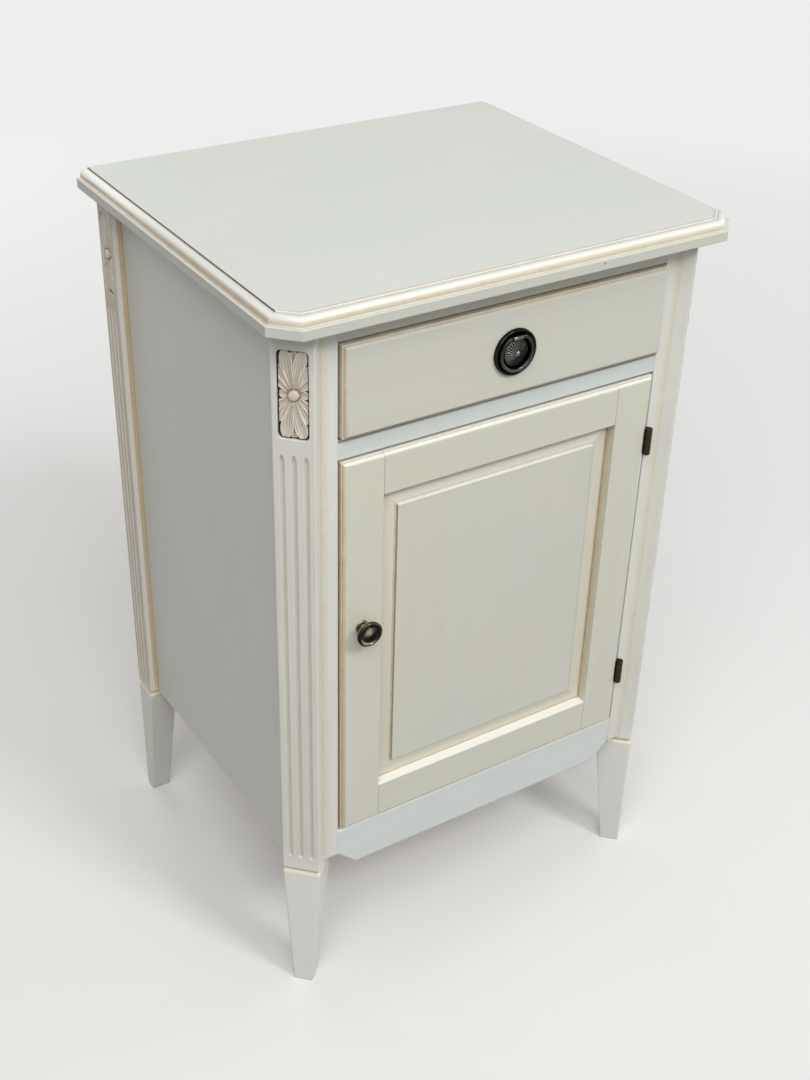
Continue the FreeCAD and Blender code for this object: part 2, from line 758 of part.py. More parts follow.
# Drawer
def make_drawer():
    whole = ("-half_drawer", "half_drawer")
    body = moulded_board("drawer_front", whole, ("drawer_low", "drawer_high"), "drawer_face",
                         "drawer_front_thickness", ("left", "right", "top", "bottom"))
    tray = ("tray_low", "tray_high")
    tray_across = ("-(box_inside + drawer_groove_depth)", "box_inside + drawer_groove_depth")
    tray_along = ("drawer_front_back - drawer_groove_depth", "box_back")
    slot = board("drawer_front_slot", tray_across, ("drawer_front_back - drawer_groove_depth",
                                                    "drawer_front_back + overrun"), tray)
    bore = rod("drawer_front_bore", "bolt_diameter", ("0", "drawer_face - overrun", "drawer_middle"),
               "drawer_front_thickness + 2 * overrun", "y")
    keep("drawer_front", cut("drawer_front_bored", body, [slot, bore]))
    for side in sides:
        plain = board(f"drawer_side_{side}_plain", mirrored(side, "box_inside", "box_outside"),
                      ("drawer_front_back", "box_back"), ("box_low", "box_high"))
        groove = board(f"drawer_side_{side}_groove",
                       mirrored(side, "box_inside - overrun", "box_inside + drawer_groove_depth"),
                       ("drawer_front_back - overrun", "box_back + overrun"), tray)
        keep(f"drawer_side_{side}", cut(f"drawer_side_{side}_grooved", plain, [groove]))
    keep("drawer_back", board("drawer_back_board", ("-box_inside", "box_inside"),
                              ("box_back - drawer_side_thickness", "box_back"), ("tray_high", "box_high")))
    keep("drawer_bottom", board("drawer_bottom_board", tray_across, tray_along, tray))
    keep("pull_bolt", fixing_bolt("pull_bolt", "0", "drawer_front_back", "drawer_middle",
                                  "drawer_front_thickness + bolt_grip"))


def fixing_bolt(name, across, back, height, length):
    # Goes through from the inside: the head lies on the back, the shank points to the front.
    shank = rod(name + "_shank", "bolt_diameter", (across, f"{back} - ({length})", height), length, "y")
    head = rod(name + "_head", "bolt_head_diameter", (across, back, height), "bolt_head_height", "y")
    return join(name + "_shape", [shank, head])


# Ring pull: a dished plate with a raised rim and a domed boss, a lug, and a ring on an axle.
def make_pull():
    body = body_for("pull_plate_body")
    edge = "plate_diameter / 2"
    rim = f"({edge} - plate_rim_width)"
    crown = f"({edge} - plate_rim_width / 2)"
    boss = "(boss_diameter / 2)"
    bore = "(bolt_diameter / 2)"
    shoulder = "-(plate_rim_height - plate_rim_width / 2)"
    points = [
        (bore, "0"),
        (edge, "0"),
        (edge, shoulder),
        (rim, shoulder, crown, "-plate_rim_height"),
        (rim, "-plate_floor"),
        (boss, "-plate_floor"),
        (boss, "-boss_wall"),
        cap("boss_diameter", "boss_height - boss_wall", "boss_height"),
        ("0", "-bolt_grip"),
        (bore, "-bolt_grip"),
    ]
    revolve(body, "plate", outline(body, "plate_outline", "XY_Plane", points))
    put(body, "0", "drawer_face", "drawer_middle")
    axle_height = "drawer_middle + ring_axle_rise"
    axle_along = "drawer_face - ring_stand_off"
    lug = board("pull_lug", ("-lug_width / 2", "lug_width / 2"),
                ("drawer_face - plate_floor - lug_depth", "drawer_face - plate_floor / 2"),
                (f"{axle_height} - lug_height / 2", f"{axle_height} + lug_height / 2"))
    hole = rod("pull_lug_bore", "axle_diameter + 2 * pin_clearance",
               ("-lug_width / 2 - overrun", axle_along, axle_height), "lug_width + 2 * overrun", "x")
    keep("pull_backplate", cut("pull_backplate_bored", join("pull_plate_and_lug", [body, lug]), [hole]))

    ring = doc.addObject("Part::Torus", "pull_ring_bow")
    bind(ring, "Radius1", "ring_diameter / 2")
    bind(ring, "Radius2", "ring_thickness / 2")
    half_gap = "asin(ring_end_spread / ring_diameter)"
    bind(ring, "Angle3", f"360 - 2 * {half_gap} / 1 deg")
    # The bow lies in the plane of the drawer front, open at the top.
    upright = Rotation(Vector(1, 0, 0), 90)
    open_angle = measure(f"{half_gap} / 1 deg")
    ring.Placement = Placement(Vector(), upright.multiply(Rotation(Vector(0, 0, 1), 90 + open_angle)))
    put(ring, "0", axle_along, "drawer_middle")
    axle = rod("pull_ring_axle", "axle_diameter", ("-ring_end_spread / 2", axle_along, axle_height),
               "ring_end_spread", "x")
    collars = []
    for side in sides:
        collar = doc.addObject("Part::Sphere", f"pull_ring_collar_{side}")
        bind(collar, "Radius", "collar_diameter / 2")
        put(collar, signed(side, "ring_end_spread / 2"), axle_along, axle_height)
        collars.append(collar)
    keep("pull_ring", join("pull_ring_shape", [ring, axle] + collars))


# Door: stiles run full height, rails have stub tenons in the panel groove, the panel is raised and fielded.
def make_door():
    groove_along = ("tongue_front", "tongue_back")
    for side in sides:
        body = moulded_board(f"door_stile_{side}", mirrored(side, "half_panel", "half_door"),
                             ("door_low", "door_high"), "door_face", "door_thickness", (side, "top", "bottom"))
        tools = [board(f"door_stile_{side}_groove",
                       mirrored(side, "half_panel - overrun", "half_panel + panel_groove_depth"),
                       groove_along, ("door_low - overrun", "door_high + overrun"))]
        if side == "left":
            tools.append(rod("door_stile_bore", "bolt_diameter",
                             ("-knob_across", "door_face - overrun", "knob_height"),
                             "door_thickness + 2 * overrun", "y"))
        else:
            tools += hinge_screws("door_bore", "door")
            tools += [board(f"hinge_notch_{hinge}", ("half_door - edge_step - edge_radius", "half_door + overrun"),
                            ("door_face - overrun", "leaf_front"),
                            (f"{middle} - hinge_height / 2 - knuckle_gap", f"{middle} + hinge_height / 2 + knuckle_gap"))
                      for hinge, middle in hinges.items()]
        keep(f"door_stile_{side}", cut(f"door_stile_{side}_grooved", body, tools))
    heights = {"top": ("panel_high", "door_high"), "bottom": ("door_low", "panel_low")}
    for end, span in heights.items():
        body = moulded_board(f"door_rail_{end}", ("-half_panel", "half_panel"), span, "door_face",
                             "door_thickness", (end,))
        tongues = board(f"door_rail_{end}_tenons",
                        ("-half_panel - panel_groove_depth", "half_panel + panel_groove_depth"), groove_along, span)
        inner = {"top": ("panel_high - overrun", "panel_high + panel_groove_depth"),
                 "bottom": ("panel_low - panel_groove_depth", "panel_low + overrun")}[end]
        groove = board(f"door_rail_{end}_groove", ("-half_door - overrun", "half_door + overrun"), groove_along, inner)
        keep(f"door_rail_{end}", cut(f"door_rail_{end}_grooved", join(f"door_rail_{end}_whole", [body, tongues]),
                                     [groove]))
    make_door_panel()
    keep("knob_screw", fixing_bolt("knob_screw", "-knob_across", "door_back", "knob_height",
                                   "door_thickness + bolt_grip"))


def make_door_panel():
    body = body_for("door_panel_body")

    def inset(by):
        return rectangle((f"-(half_panel - {by})", f"half_panel - {by}"),
                         (f"panel_low + {by}", f"panel_high - {by}"))

    tongue = "(panel_play - panel_groove_depth)"
    shoulder = "tongue_front - bevel_rise"
    plate = outline(body, "tongue_outline", "XZ_Plane", inset(tongue), "-tongue_front")
    pad(body, "tongue", plate, "panel_tongue", backwards=True)
    wide = outline(body, "bevel_outer", "XZ_Plane", inset("panel_play / 2"), "-tongue_front")
    narrow = outline(body, "bevel_inner", "XZ_Plane", inset("bevel_width"), f"-({shoulder})")
    loft(body, "bevel", [wide, narrow])
    field = outline(body, "field_outline", "XZ_Plane", inset("bevel_width"), f"-({shoulder})")
    pad(body, "field", field, "field_step")
    keep("door_panel", body)


# Knob: a turned base, a slim neck and a dished head with a domed middle.
knob_length_shares = {"base": 0.1, "flare": 0.2, "neck": 0.56, "swell": 0.63, "rim": 0.75, "edge": 0.84,
                      "lip": 0.94}
knob_radius_shares = {"swell": 0.63, "lip": 0.8}


def make_knob():
    body = body_for("knob_body")
    base, neck, bore = "(knob_base_diameter / 2)", "(knob_neck_diameter / 2)", "(bolt_diameter / 2)"

    def out(name):
        return f"-{knob_length_shares[name]} * knob_length"

    def wide(name):
        return f"{knob_radius_shares[name]} * knob_diameter / 2"

    points = [
        (bore, "0"),
        (base, "0"),
        (base, out("base")),
        (neck, out("flare"), f"({base} + {neck}) / 2", out("flare")),
        (neck, out("neck")),
        ("knob_diameter / 2", out("rim"), wide("swell"), out("swell")),
        ("knob_diameter / 2", out("edge")),
        (wide("lip"), out("lip")),
        ("knob_dome_diameter / 2", "-(knob_length - knob_dome_height)"),
        cap("knob_dome_diameter", "knob_dome_height", "knob_length"),
        ("0", "-bolt_grip"),
        (bore, "-bolt_grip"),
    ]
    revolve(body, "knob", outline(body, "knob_outline", "XY_Plane", points))
    put(body, "-knob_across", "door_face", "knob_height")
    keep("door_knob", body)


# Butt hinges: the frame leaf has the outer knuckles, the door leaf the middle one.
hinges = {
    "upper": "(door_high - upper_hinge_set_in)",
    "lower": "(door_low + lower_hinge_set_in)",
}


def hinge_screws(name, leaf):
    reach = "hinge_screw_length + leaf_thickness"
    start = {"frame": "half_opening - leaf_thickness", "door": f"half_door + leaf_thickness - ({reach})"}[leaf]
    along = "(leaf_back + frame_front + pin_clearance) / 2"
    return [rod(f"{name}_{hinge}_{end}", "hinge_screw_diameter",
                (start, along, f"{middle} {sign} hinge_screw_spread / 2"), reach, "x")
            for hinge, middle in hinges.items() for end, sign in (("low", "-"), ("high", "+"))]


def make_hinge(hinge, middle):
    bottom = f"({middle} - hinge_height / 2)"
    step = "(knuckle_height + knuckle_gap)"
    web_front = "pin_along + (pin_diameter + barrel_diameter) / 4"
    leaves = {
        "frame": (("half_opening - leaf_thickness", "half_opening"), (0, 2)),
        "door": (("half_door", "half_door + leaf_thickness"), (1,)),
    }
    for leaf, (across, knuckles) in leaves.items():
        label = f"hinge_{hinge}_{leaf}_leaf"
        pieces = [board(label + "_plate", across, ("leaf_front", "leaf_back"), (bottom, f"{bottom} + hinge_height"))]
        for number in knuckles:
            low = f"{bottom} + {number} * {step}"
            pieces.append(rod(f"{label}_knuckle_{number}", "barrel_diameter", ("pin_across", "pin_along", low),
                              "knuckle_height", "z"))
            pieces.append(board(f"{label}_web_{number}", across, (web_front, "leaf_front"),
                                (low, f"{low} + knuckle_height")))
        bore = rod(label + "_bore", "pin_diameter + 2 * pin_clearance",
                   ("pin_across", "pin_along", f"{bottom} - overrun"), "hinge_height + 2 * overrun", "z")
        tools = [bore] + hinge_screws(label + "_hole", leaf)
        keep(label, cut(label + "_bored", join(label + "_whole", pieces), tools))
    keep(f"hinge_{hinge}_pin", rod(f"hinge_{hinge}_pin_rod", "pin_diameter",
                                   ("pin_across", "pin_along", bottom), "hinge_height", "z"))


def make_hinges():
    for hinge, middle in hinges.items():
        make_hinge(hinge, middle)
    for leaf in ("frame", "door"):
        keep(f"hinge_{leaf}_screws", group(f"hinge_{leaf}_screw_set", hinge_screws(f"hinge_{leaf}_screw", leaf)))


# Magnetic catch behind the middle rail, with its plate on the back of the door.
def make_catch():
    across = ("-half_panel + catch_set_in", "-half_panel + catch_set_in + catch_width")
    low = "(middle_rail_bottom - catch_drop)"
    case = board("catch_case", across, ("frame_back", "frame_back + catch_depth"), (low, f"{low} + catch_height"))
    narrow = (f"{across[0]} + catch_margin", f"{across[1]} - catch_margin")
    plate_height = (f"{low} + catch_margin", f"{low} + catch_margin + catch_plate_height")
    nose = board("catch_poles", narrow, ("frame_back - catch_nose", "frame_back"), plate_height)
    keep("catch_magnet", join("catch_magnet_shape", [case, nose]))
    keep("catch_plate", board("catch_plate_board", narrow, ("door_back", "door_back + catch_plate_thickness"),
                              plate_height))


make_top_slab()
make_posts()
make_rosettes()
make_front_frame()
make_body_boards()
make_drawer_carriers()
make_drawer()
make_pull()
make_door()
make_knob()
make_hinges()
make_catch()
doc.recompute()

for thing in doc.Objects:
    if "Invalid" in thing.State or "Error" in thing.State:
        raise RuntimeError(f"{thing.Name} failed: {thing.State}")
for name, thing in parts.items():
    if thing.Shape.isNull() or not thing.Shape.isValid() or not thing.Shape.Solids:
        raise RuntimeError(f"{name} has no valid shape")

os.makedirs("parts", exist_ok=True)
for name, thing in parts.items():
    thing.Shape.exportStep(f"parts/{name}.step")
    box = thing.Shape.BoundBox
    print(f"{name}: {len(thing.Shape.Solids)} solids, {thing.Shape.Volume:.0f} mm3, "
          f"x {box.XMin:.1f} to {box.XMax:.1f}, y {box.YMin:.1f} to {box.YMax:.1f}, z {box.ZMin:.1f} to {box.ZMax:.1f}")
print(len(parts), "pieces")
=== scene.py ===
import math
from types import SimpleNamespace
import bpy
import numpy as np
from mathutils import Matrix, Vector


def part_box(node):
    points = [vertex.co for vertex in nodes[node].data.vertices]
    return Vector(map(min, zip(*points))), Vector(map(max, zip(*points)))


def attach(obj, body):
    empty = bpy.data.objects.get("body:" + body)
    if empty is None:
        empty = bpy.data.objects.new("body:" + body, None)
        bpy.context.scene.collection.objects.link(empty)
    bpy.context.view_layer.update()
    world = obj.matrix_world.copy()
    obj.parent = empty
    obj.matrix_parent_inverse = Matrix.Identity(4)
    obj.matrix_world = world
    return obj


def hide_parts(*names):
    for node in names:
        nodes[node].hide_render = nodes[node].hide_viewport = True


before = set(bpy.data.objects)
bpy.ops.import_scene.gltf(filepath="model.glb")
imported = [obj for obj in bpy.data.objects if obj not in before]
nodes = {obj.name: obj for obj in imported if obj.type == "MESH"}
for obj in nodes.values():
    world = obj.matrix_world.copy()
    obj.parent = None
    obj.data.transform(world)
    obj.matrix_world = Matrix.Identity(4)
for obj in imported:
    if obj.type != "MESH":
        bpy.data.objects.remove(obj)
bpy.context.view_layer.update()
print("frame loaded:", len(nodes), "nodes")


# camera at the photograph's angle: right, down and forward rows of the fitted view
view = {
    "place": (-0.6799, -1.0626, 1.1725),
    "right": (0.84634, -0.53210, 0.02419),
    "down": (-0.27058, -0.46861, -0.84095),
    "forward": (0.45880, 0.70518, -0.54057),
    "sensor": 24.0,
    "lens": 33.457,
}


def placeCamera():
    lensData = bpy.data.cameras.new("viewCamera")
    lensData.sensor_fit = "VERTICAL"
    lensData.sensor_height = view["sensor"]
    lensData.lens = view["lens"]
    camera = bpy.data.objects.new("viewCamera", lensData)
    right, down, forward = (Vector(view[row]) for row in ("right", "down", "forward"))
    turn = Matrix((right, -down, -forward)).transposed()
    camera.matrix_world = Matrix.Translation(view["place"]) @ turn.to_4x4()
    bpy.context.scene.collection.objects.link(camera)
    bpy.context.scene.camera = camera


placeCamera()
print("camera placed")


# small helpers for building shader trees
def newMaterial(name):
    material = bpy.data.materials.new(name)
    material.use_nodes = True
    tree = material.node_tree
    return material, tree, tree.nodes["Principled BSDF"]


def addNode(tree, kind, inputs=None, **settings):
    node = tree.nodes.new(kind)
    for key, value in settings.items():
        setattr(node, key, value)
    for key, value in (inputs or {}).items():
        plug(value, node.inputs[key])
    return node


def plug(value, socket):
    source = value.socket if isinstance(value, Level) else value
    if isinstance(source, bpy.types.NodeSocket):
        socket.id_data.links.new(source, socket)
    else:
        socket.default_value = source


# a number in a shader tree, to be reckoned with like any other
class Level:
    def __init__(self, socket):
        self.socket, self.tree = socket, socket.id_data

    def reckon(self, how, first, second=0.0):
        return Level(addNode(self.tree, "ShaderNodeMath", {0: first, 1: second}, operation=how).outputs[0])

    def __add__(self, other):
        return self.reckon("ADD", self, other)

    def __sub__(self, other):
        return self.reckon("SUBTRACT", self, other)

    def __rsub__(self, other):
        return self.reckon("SUBTRACT", other, self)

    def __mul__(self, other):
        return self.reckon("MULTIPLY", self, other)

    def __abs__(self):
        return self.reckon("ABSOLUTE", self)

    def atLeast(self, other):
        return self.reckon("MAXIMUM", self, other)

    def ramp(self, low, high, start=0.0, end=1.0):
        levels = {"Value": self, "From Min": low, "From Max": high, "To Min": start, "To Max": end}
        return Level(addNode(self.tree, "ShaderNodeMapRange", levels).outputs[0])

    # a share between two levels, fading over a soft edge outside them
    def between(self, low, high, soft, share=1.0):
        return self.ramp(low - soft, low, 0.0, share) * self.ramp(high + soft, high)


def blend(share, first, second):
    inputs = {0: share, 6: first, 7: second}
    return addNode(share.tree, "ShaderNodeMix", inputs, data_type="RGBA", clamp_factor=True).outputs[2]


def speckle(coords, scale, detail, roughness, stretch=(1, 1, 1)):
    mapped = addNode(coords.id_data, "ShaderNodeMapping", {"Vector": coords, "Scale": stretch}).outputs[0]
    noise = {"Vector": mapped, "Scale": scale, "Detail": detail, "Roughness": roughness}
    return Level(addNode(coords.id_data, "ShaderNodeTexNoise", noise).outputs[0])


def objectCoords(tree):
    return addNode(tree, "ShaderNodeTexCoord").outputs["Object"]


def vectorParts(vector):
    return [Level(part) for part in addNode(vector.id_data, "ShaderNodeSeparateXYZ", {0: vector}).outputs]


def attribute(tree, name):
    return Level(addNode(tree, "ShaderNodeAttribute", attribute_name=name).outputs["Fac"])


# 1 in the open, towards 0 in nooks narrower than the reach
def openness(tree, reach, samples, alone=False):
    return Level(addNode(tree, "ShaderNodeAmbientOcclusion", {"Distance": reach}, samples=samples,
                         only_local=alone).outputs["AO"])


# how far the surface turns within a reach of each point: 0 on flats, 1 at corners
def cornerMask(tree, reach, flat, sharp):
    turned = addNode(tree, "ShaderNodeBevel", {"Radius": reach}, samples=6).outputs[0]
    trueNormal = addNode(tree, "ShaderNodeNewGeometry").outputs["True Normal"]
    same = addNode(tree, "ShaderNodeVectorMath", {0: turned, 1: trueNormal}, operation="DOT_PRODUCT")
    return Level(same.outputs["Value"]).ramp(flat, sharp), turned


# colour, and a sheen and bump that follow a fine noise
def setSurface(shader, colour, grit, sheen, bump=None, normal=None):
    plug(colour, shader.inputs["Base Color"])
    plug(grit.ramp(0.3, 0.7, *sheen), shader.inputs["Roughness"])
    if bump:
        relief = {"Height": grit, "Strength": bump[0], "Distance": bump[1]}
        if normal is not None:
            relief["Normal"] = normal
        plug(addNode(grit.tree, "ShaderNodeBump", relief).outputs[0], shader.inputs["Normal"])


def fromRgb(red, green, blue):
    def linear(level):
        level /= 255
        return level / 12.92 if level <= 0.04045 else ((level + 0.055) / 1.055) ** 2.4
    return (linear(red), linear(green), linear(blue), 1)


# paint: cream over wood, brown glaze left in the nooks, pale rubbed edges; the pale rubbed colour also serves
# for painted highlights, and the deep, brown and grey colours also for painted shade
paint = {
    "wash": fromRgb(218, 200, 158), "glaze": fromRgb(190, 164, 126),
    "brownGlazeAndShadow": fromRgb(104, 78, 56), "deepGlazeAndShade": fromRgb(50, 43, 33),
    "tanBand": fromRgb(204, 188, 150), "frontDarker": fromRgb(205, 201, 181),
    "paintedShade": fromRgb(189, 186, 177), "fieldEdge": fromRgb(231, 227, 210),
    "cream": fromRgb(236, 226, 200), "rubbedAndHighlight": fromRgb(248, 247, 241), "chip": fromRgb(112, 98, 80),
    # scale, detail and roughness of the noises
    "brush": (420, 4, 0.6), "streak": (70, 3, 0.6), "broad": (8, 2, 0.55), "patch": (75, 4, 0.65),
    # reach and samples of what tells nooks and shade
    "nook": (0.0030, 10), "shade": (0.012, 8),
    "sheen": (0.33, 0.45), "bump": (0.05, 0.0004),
}
# each painted finish: its two tones, grain, and how much glaze or rubbing it carries where;
# alone means that only the piece's own shape makes nooks
paintDefaults = {"grain": "z", "alone": True, "streak": 0.14, "wash": 0.15, "washFrom": 0.78,
                 "nookGlaze": 0.95, "edgeReach": 0.0012}
# the tones of the one cream paint differ from piece to piece as painted light and shade: paler on the stiles
# and posts and palest on the feet, darker and warmer on the rear posts, cooler on the top, the middle rail
# and the apron as painted sky light
paintKinds = {
    # the top's cooler tone is painted sky light; its faces turned sideways are greyed as painted shade, and
    # its faces turned to the front are drawn darker and warmer
    "paintTop": {"tones": ((218, 221, 213), (214, 219, 212)), "grain": "x", "streak": 0.05,
                 "paintedShade": 0.75, "frontDarker": 0.35, "topEdge": True},
    "paintSide": {"tones": ((219, 219, 211), (215, 217, 210)), "alone": False, "streak": 0.08,
                  "hem": [(0.1500, 0.1532, 0.0004, 0.95)]},
    "paintPost": {"tones": ((233, 233, 224), (230, 231, 223)), "foot": (246, 245, 238),
                  "alone": False, "wash": 0.40, "washFrom": 0.80, "nookGlaze": 0.50, "edgeReach": 0.0016},
    # the rear post's front strip: tan towards the inner corner as painted shade, a white line on the arris as
    # painted highlight
    "paintRearPost": {"tones": ((200, 188, 170), (197, 187, 171)), "foot": (231, 232, 223),
                      "alone": False, "wash": 0.90, "washFrom": 0.82, "nookGlaze": 0.65,
                      "edgeReach": 0.0014, "frontStrip": (0.2044, 0.2064)},
    "paintStile": {"tones": ((235, 236, 227), (231, 234, 227)), "outerTan": (0.1690, 0.1778, 0.0, 0.65)},
    "paintTopRail": {"tones": ((222, 221, 206), (220, 220, 207)), "grain": "x"},
    # the middle rail's dark lines are painted shadow: under the drawer along its top, and above the door
    # along its bottom
    "paintRail": {"tones": ((223, 229, 225), (220, 228, 226)), "grain": "x",
                  "paintedShadowLines": [(0.5966, 0.5990, 0.0014, 0.66), (0.5796, 0.5808, 0.0004, 0.55)]},
    # a white line along the apron's top edge, a painted highlight
    "paintApron": {"tones": ((229, 234, 232), (227, 233, 232)), "grain": "x",
                   "edgeReach": 0.0026, "crest": [(0.1806, 0.1840, 0.0004, 0.8)]},
    # on the drawer and the door the tan on faces turned sideways deepens towards the back as painted shade;
    # the drawer's faces turned down are darkened as painted shade
    "paintDrawer": {"tones": ((219, 218, 205), (217, 218, 206)), "grain": "x", "sideTanAndShade": 0.75,
                    "sideShadeDepth": (-0.1800, -0.1725, 0.25, 1.0), "upTan": 0.40, "paintedUnderShade": 0.65},
    # on the door's upright and cross pieces, faces turned up are whitened as painted highlight
    "paintDoorUp": {"tones": ((223, 223, 207), (221, 222, 209)), "sideTanAndShade": 0.60,
                    "sideShadeDepth": (-0.1698, -0.1620, 0.25, 1.0), "paintedTopHighlight": 0.85,
                    "leftTan": (-0.1558, -0.1568, 0.0, 0.90)},
    "paintDoorAcross": {"tones": ((222, 222, 206), (220, 221, 208)), "grain": "x",
                        "paintedTopHighlight": 0.85, "joint": (0.1198, 0.1201, 0.0, 0.45)},
    "paintField": {"tones": ((220, 219, 206), (217, 219, 207)), "alone": False, "wash": 0.08, "field": True},
    "paintCarved": {"tones": ((224, 219, 205), (220, 217, 205)), "alone": False, "carved": True},
}
grainStretch = {"x": (0.06, 1, 1), "y": (1, 0.06, 1), "z": (1, 1, 0.06)}
# span of its mask over which a coat comes in, some with the shares at both ends
coats = {
    "second": (0.35, 0.65), "streak": (0.45, 0.80), "brush": (0.35, 0.75, 0.0, 0.05),
    "broken": (0.30, 0.60, 0.50, 1.0), "washFull": 0.40,
    "nookTan": (0.92, 0.55), "nookShade": (0.42, 0.14, 0.0, 0.9),
    "carvedTan": (0.02, 0.60, 0.0, 0.85), "carvedDeep": (0.55, 1.00, 0.0, 0.97), "carvedRim": 0.8,
    "edge": (0.995, 0.82), "openEdge": (0.62, 0.85), "edgeShare": 0.9, "chips": (0.70, 0.74),
    # by the way a face is turned
    "aside": (0.25, 0.60), "notAside": (0.85, 0.45), "endOn": (0.80, 0.95), "frontOn": (-0.80, -0.95),
    "upwards": (0.25, 0.60), "downwards": (-0.30, -0.70), "litLedge": (0.30, 0.65),
    # at the door's top edge the painted highlight on faces turned up is weaker
    "doorTop": (0.574, 0.570, 0.75, 1.0),
    # the rear post's strip: painted shade in tan towards the inner corner, painted highlight on the arris
    "stripFront": (-0.75, -0.90), "stripSoft": 0.0008, "stripShade": 0.75, "stripHighlight": 0.80,
}
# groove at the posts' ankle, how the tones above and below it fade, and the cream painted highlight on its
# ledge that faces up
ankle = {"low": 0.1440, "high": 0.1500, "soft": 0.001, "footFade": 0.02, "legFade": 0.004, "wash": 0.55,
         "litLedge": (0.10, 0.40)}


# what the coats go by at a point: its place, the way it faces, noises, nooks and edges
def pointMarks(tree, kind):
    where, along = addNode(tree, "ShaderNodeTexCoord").outputs, grainStretch[kind["grain"]]
    at = SimpleNamespace(tree=tree, above=1.0)
    at.x, at.y, at.z = vectorParts(where["Object"])
    at.faceX, at.faceY, at.faceZ = vectorParts(where["Normal"])
    at.wide, at.sideways = abs(at.x), abs(at.faceX)
    at.brush, at.streak = (speckle(where["Object"], *paint[noise], along) for noise in ("brush", "streak"))
    at.broad, at.patch = (speckle(where["Object"], *paint[noise]) for noise in ("broad", "patch"))
    at.broken = at.patch.ramp(*coats["broken"])
    at.nook, at.shade = (openness(tree, *paint[mask], kind["alone"]) for mask in ("nook", "shade"))
    at.edge, at.edgeNormal = cornerMask(tree, kind["edgeReach"], *coats["edge"])
    if "foot" in kind:
        at.above = at.z.ramp(ankle["low"] - ankle["legFade"], ankle["low"])
    return at


# the door's raised field: slopes drawn pale as painted light, the upper slope and its arris whiter as painted
# highlight, the lower slope greyer as painted shade; tan beside the step and a brown line in it
doorField = {
    "halfWide": 0.1028, "middle": 0.3817, "halfTall": 0.1393, "turn": 0.002, "fade": 0.02,
    "slope": 0.0005, "slopeShare": 0.85, "slopeHighlight": 0.20, "slopeShade": 0.22,
    # lines: start and end past the field's edge, softness, share
    "arris": (-0.0006, 0.0008, 0.0003, 0.85), "crack": (0.0001, 0.0007, 0.0003, 0.70),
    "tan": (0.0003, 0.0022, 0.0008), "tanBeside": 0.75, "tanOver": 0.30, "rightShare": 0.40,
}


def fieldCoats(at):
    middle, turn, fade = doorField["middle"], doorField["turn"], doorField["fade"]
    pastSide = at.wide - doorField["halfWide"]
    pastEnd = abs(at.z - middle) - doorField["halfTall"]
    past = pastSide.atLeast(pastEnd)
    sidelong = (pastSide - pastEnd).ramp(-turn, turn)
    endwise, upper = 1.0 - sidelong, at.z.ramp(middle - fade, middle + fade)
    over, under = endwise * upper, endwise * (1.0 - upper)
    beside = sidelong * at.x.ramp(fade, -fade, doorField["rightShare"], 1.0)
    slope = past.ramp(0.0, doorField["slope"])
    yield slope * doorField["slopeShare"], "fieldEdge"
    yield slope * over * doorField["slopeHighlight"], "rubbedAndHighlight"
    yield slope * under * doorField["slopeShade"], "paintedShade"
    tan = (beside * doorField["tanBeside"]).atLeast(over * doorField["tanOver"])
    yield past.between(*doorField["tan"]) * at.broken * tan, "glaze"
    yield past.between(*doorField["arris"]) * over, "rubbedAndHighlight"
    yield past.between(*doorField["crack"]) * beside, "deepGlazeAndShade"


# edge of the top: a pale round, partly rubbed paint and partly painted highlight, and fine lines round the
# flat in tan, white and brown
topEdge = {
    # the round: where it starts and ends by its slope, less on the shaded sides, white towards the top as
    # painted highlight
    "roundFrom": (0.08, 0.30), "roundTo": (0.985, 0.90), "roundOpen": (0.70, 0.90), "roundShare": 0.75,
    "roundSide": (0.15, 0.50, 1.0, 0.45), "roundHighlight": (0.45, 0.75),
    # half width, depth to the front, sum of both at the canted corners
    "flat": (0.2137, 0.1787, 0.3785), "turn": 0.0005,
    # lines: start and end past the flat, softness, share
    "tan": (-0.0030, -0.0018, 0.0004, 0.60), "arris": (-0.0008, 0.0, 0.0003, 0.8),
    "step": (0.0002, 0.0011, 0.0003, 0.75), "crack": (0.0000, 0.0012, 0.0003, 0.85),
    "smear": (0.0074, 0.0086, 0.0010), "smearSide": 0.60, "smearFront": 0.30,
    # sparse nicks: cells to the metre, the share left out, size, slope of the upright faces
    "nickCells": 36.0, "nickFew": 0.62, "nickSize": (0.040, 0.022), "nickUpright": (0.30, 0.10),
}


def topCoats(at):
    rounded = at.faceZ.ramp(*topEdge["roundFrom"]) * at.faceZ.ramp(*topEdge["roundTo"])
    rounded = rounded * at.nook.ramp(*topEdge["roundOpen"]) * at.sideways.ramp(*topEdge["roundSide"])
    highlight = at.faceZ.ramp(*topEdge["roundHighlight"])
    yield rounded * topEdge["roundShare"], blend(highlight, paint["cream"], paint["rubbedAndHighlight"])
    side, front, corner = topEdge["flat"]
    pastSide = at.wide - side
    pastCant = (at.wide - at.y - corner) * math.sqrt(0.5)
    pastOthers = (at.y * -1.0 - front).atLeast(pastCant)
    past = pastSide.atLeast(pastOthers)
    sidelong = (pastSide - pastOthers).ramp(-topEdge["turn"], topEdge["turn"])
    fronting = 1.0 - sidelong
    yield past.between(*topEdge["tan"]) * at.broken * fronting, "glaze"
    yield past.between(*topEdge["arris"]) * fronting, "rubbedAndHighlight"
    yield past.between(*topEdge["step"]) * at.broken, "glaze"
    yield past.between(*topEdge["crack"]) * sidelong, "brownGlazeAndShadow"
    smear = (sidelong * topEdge["smearSide"]).atLeast(topEdge["smearFront"])
    yield past.between(*topEdge["smear"]) * at.broken * smear, "glaze"


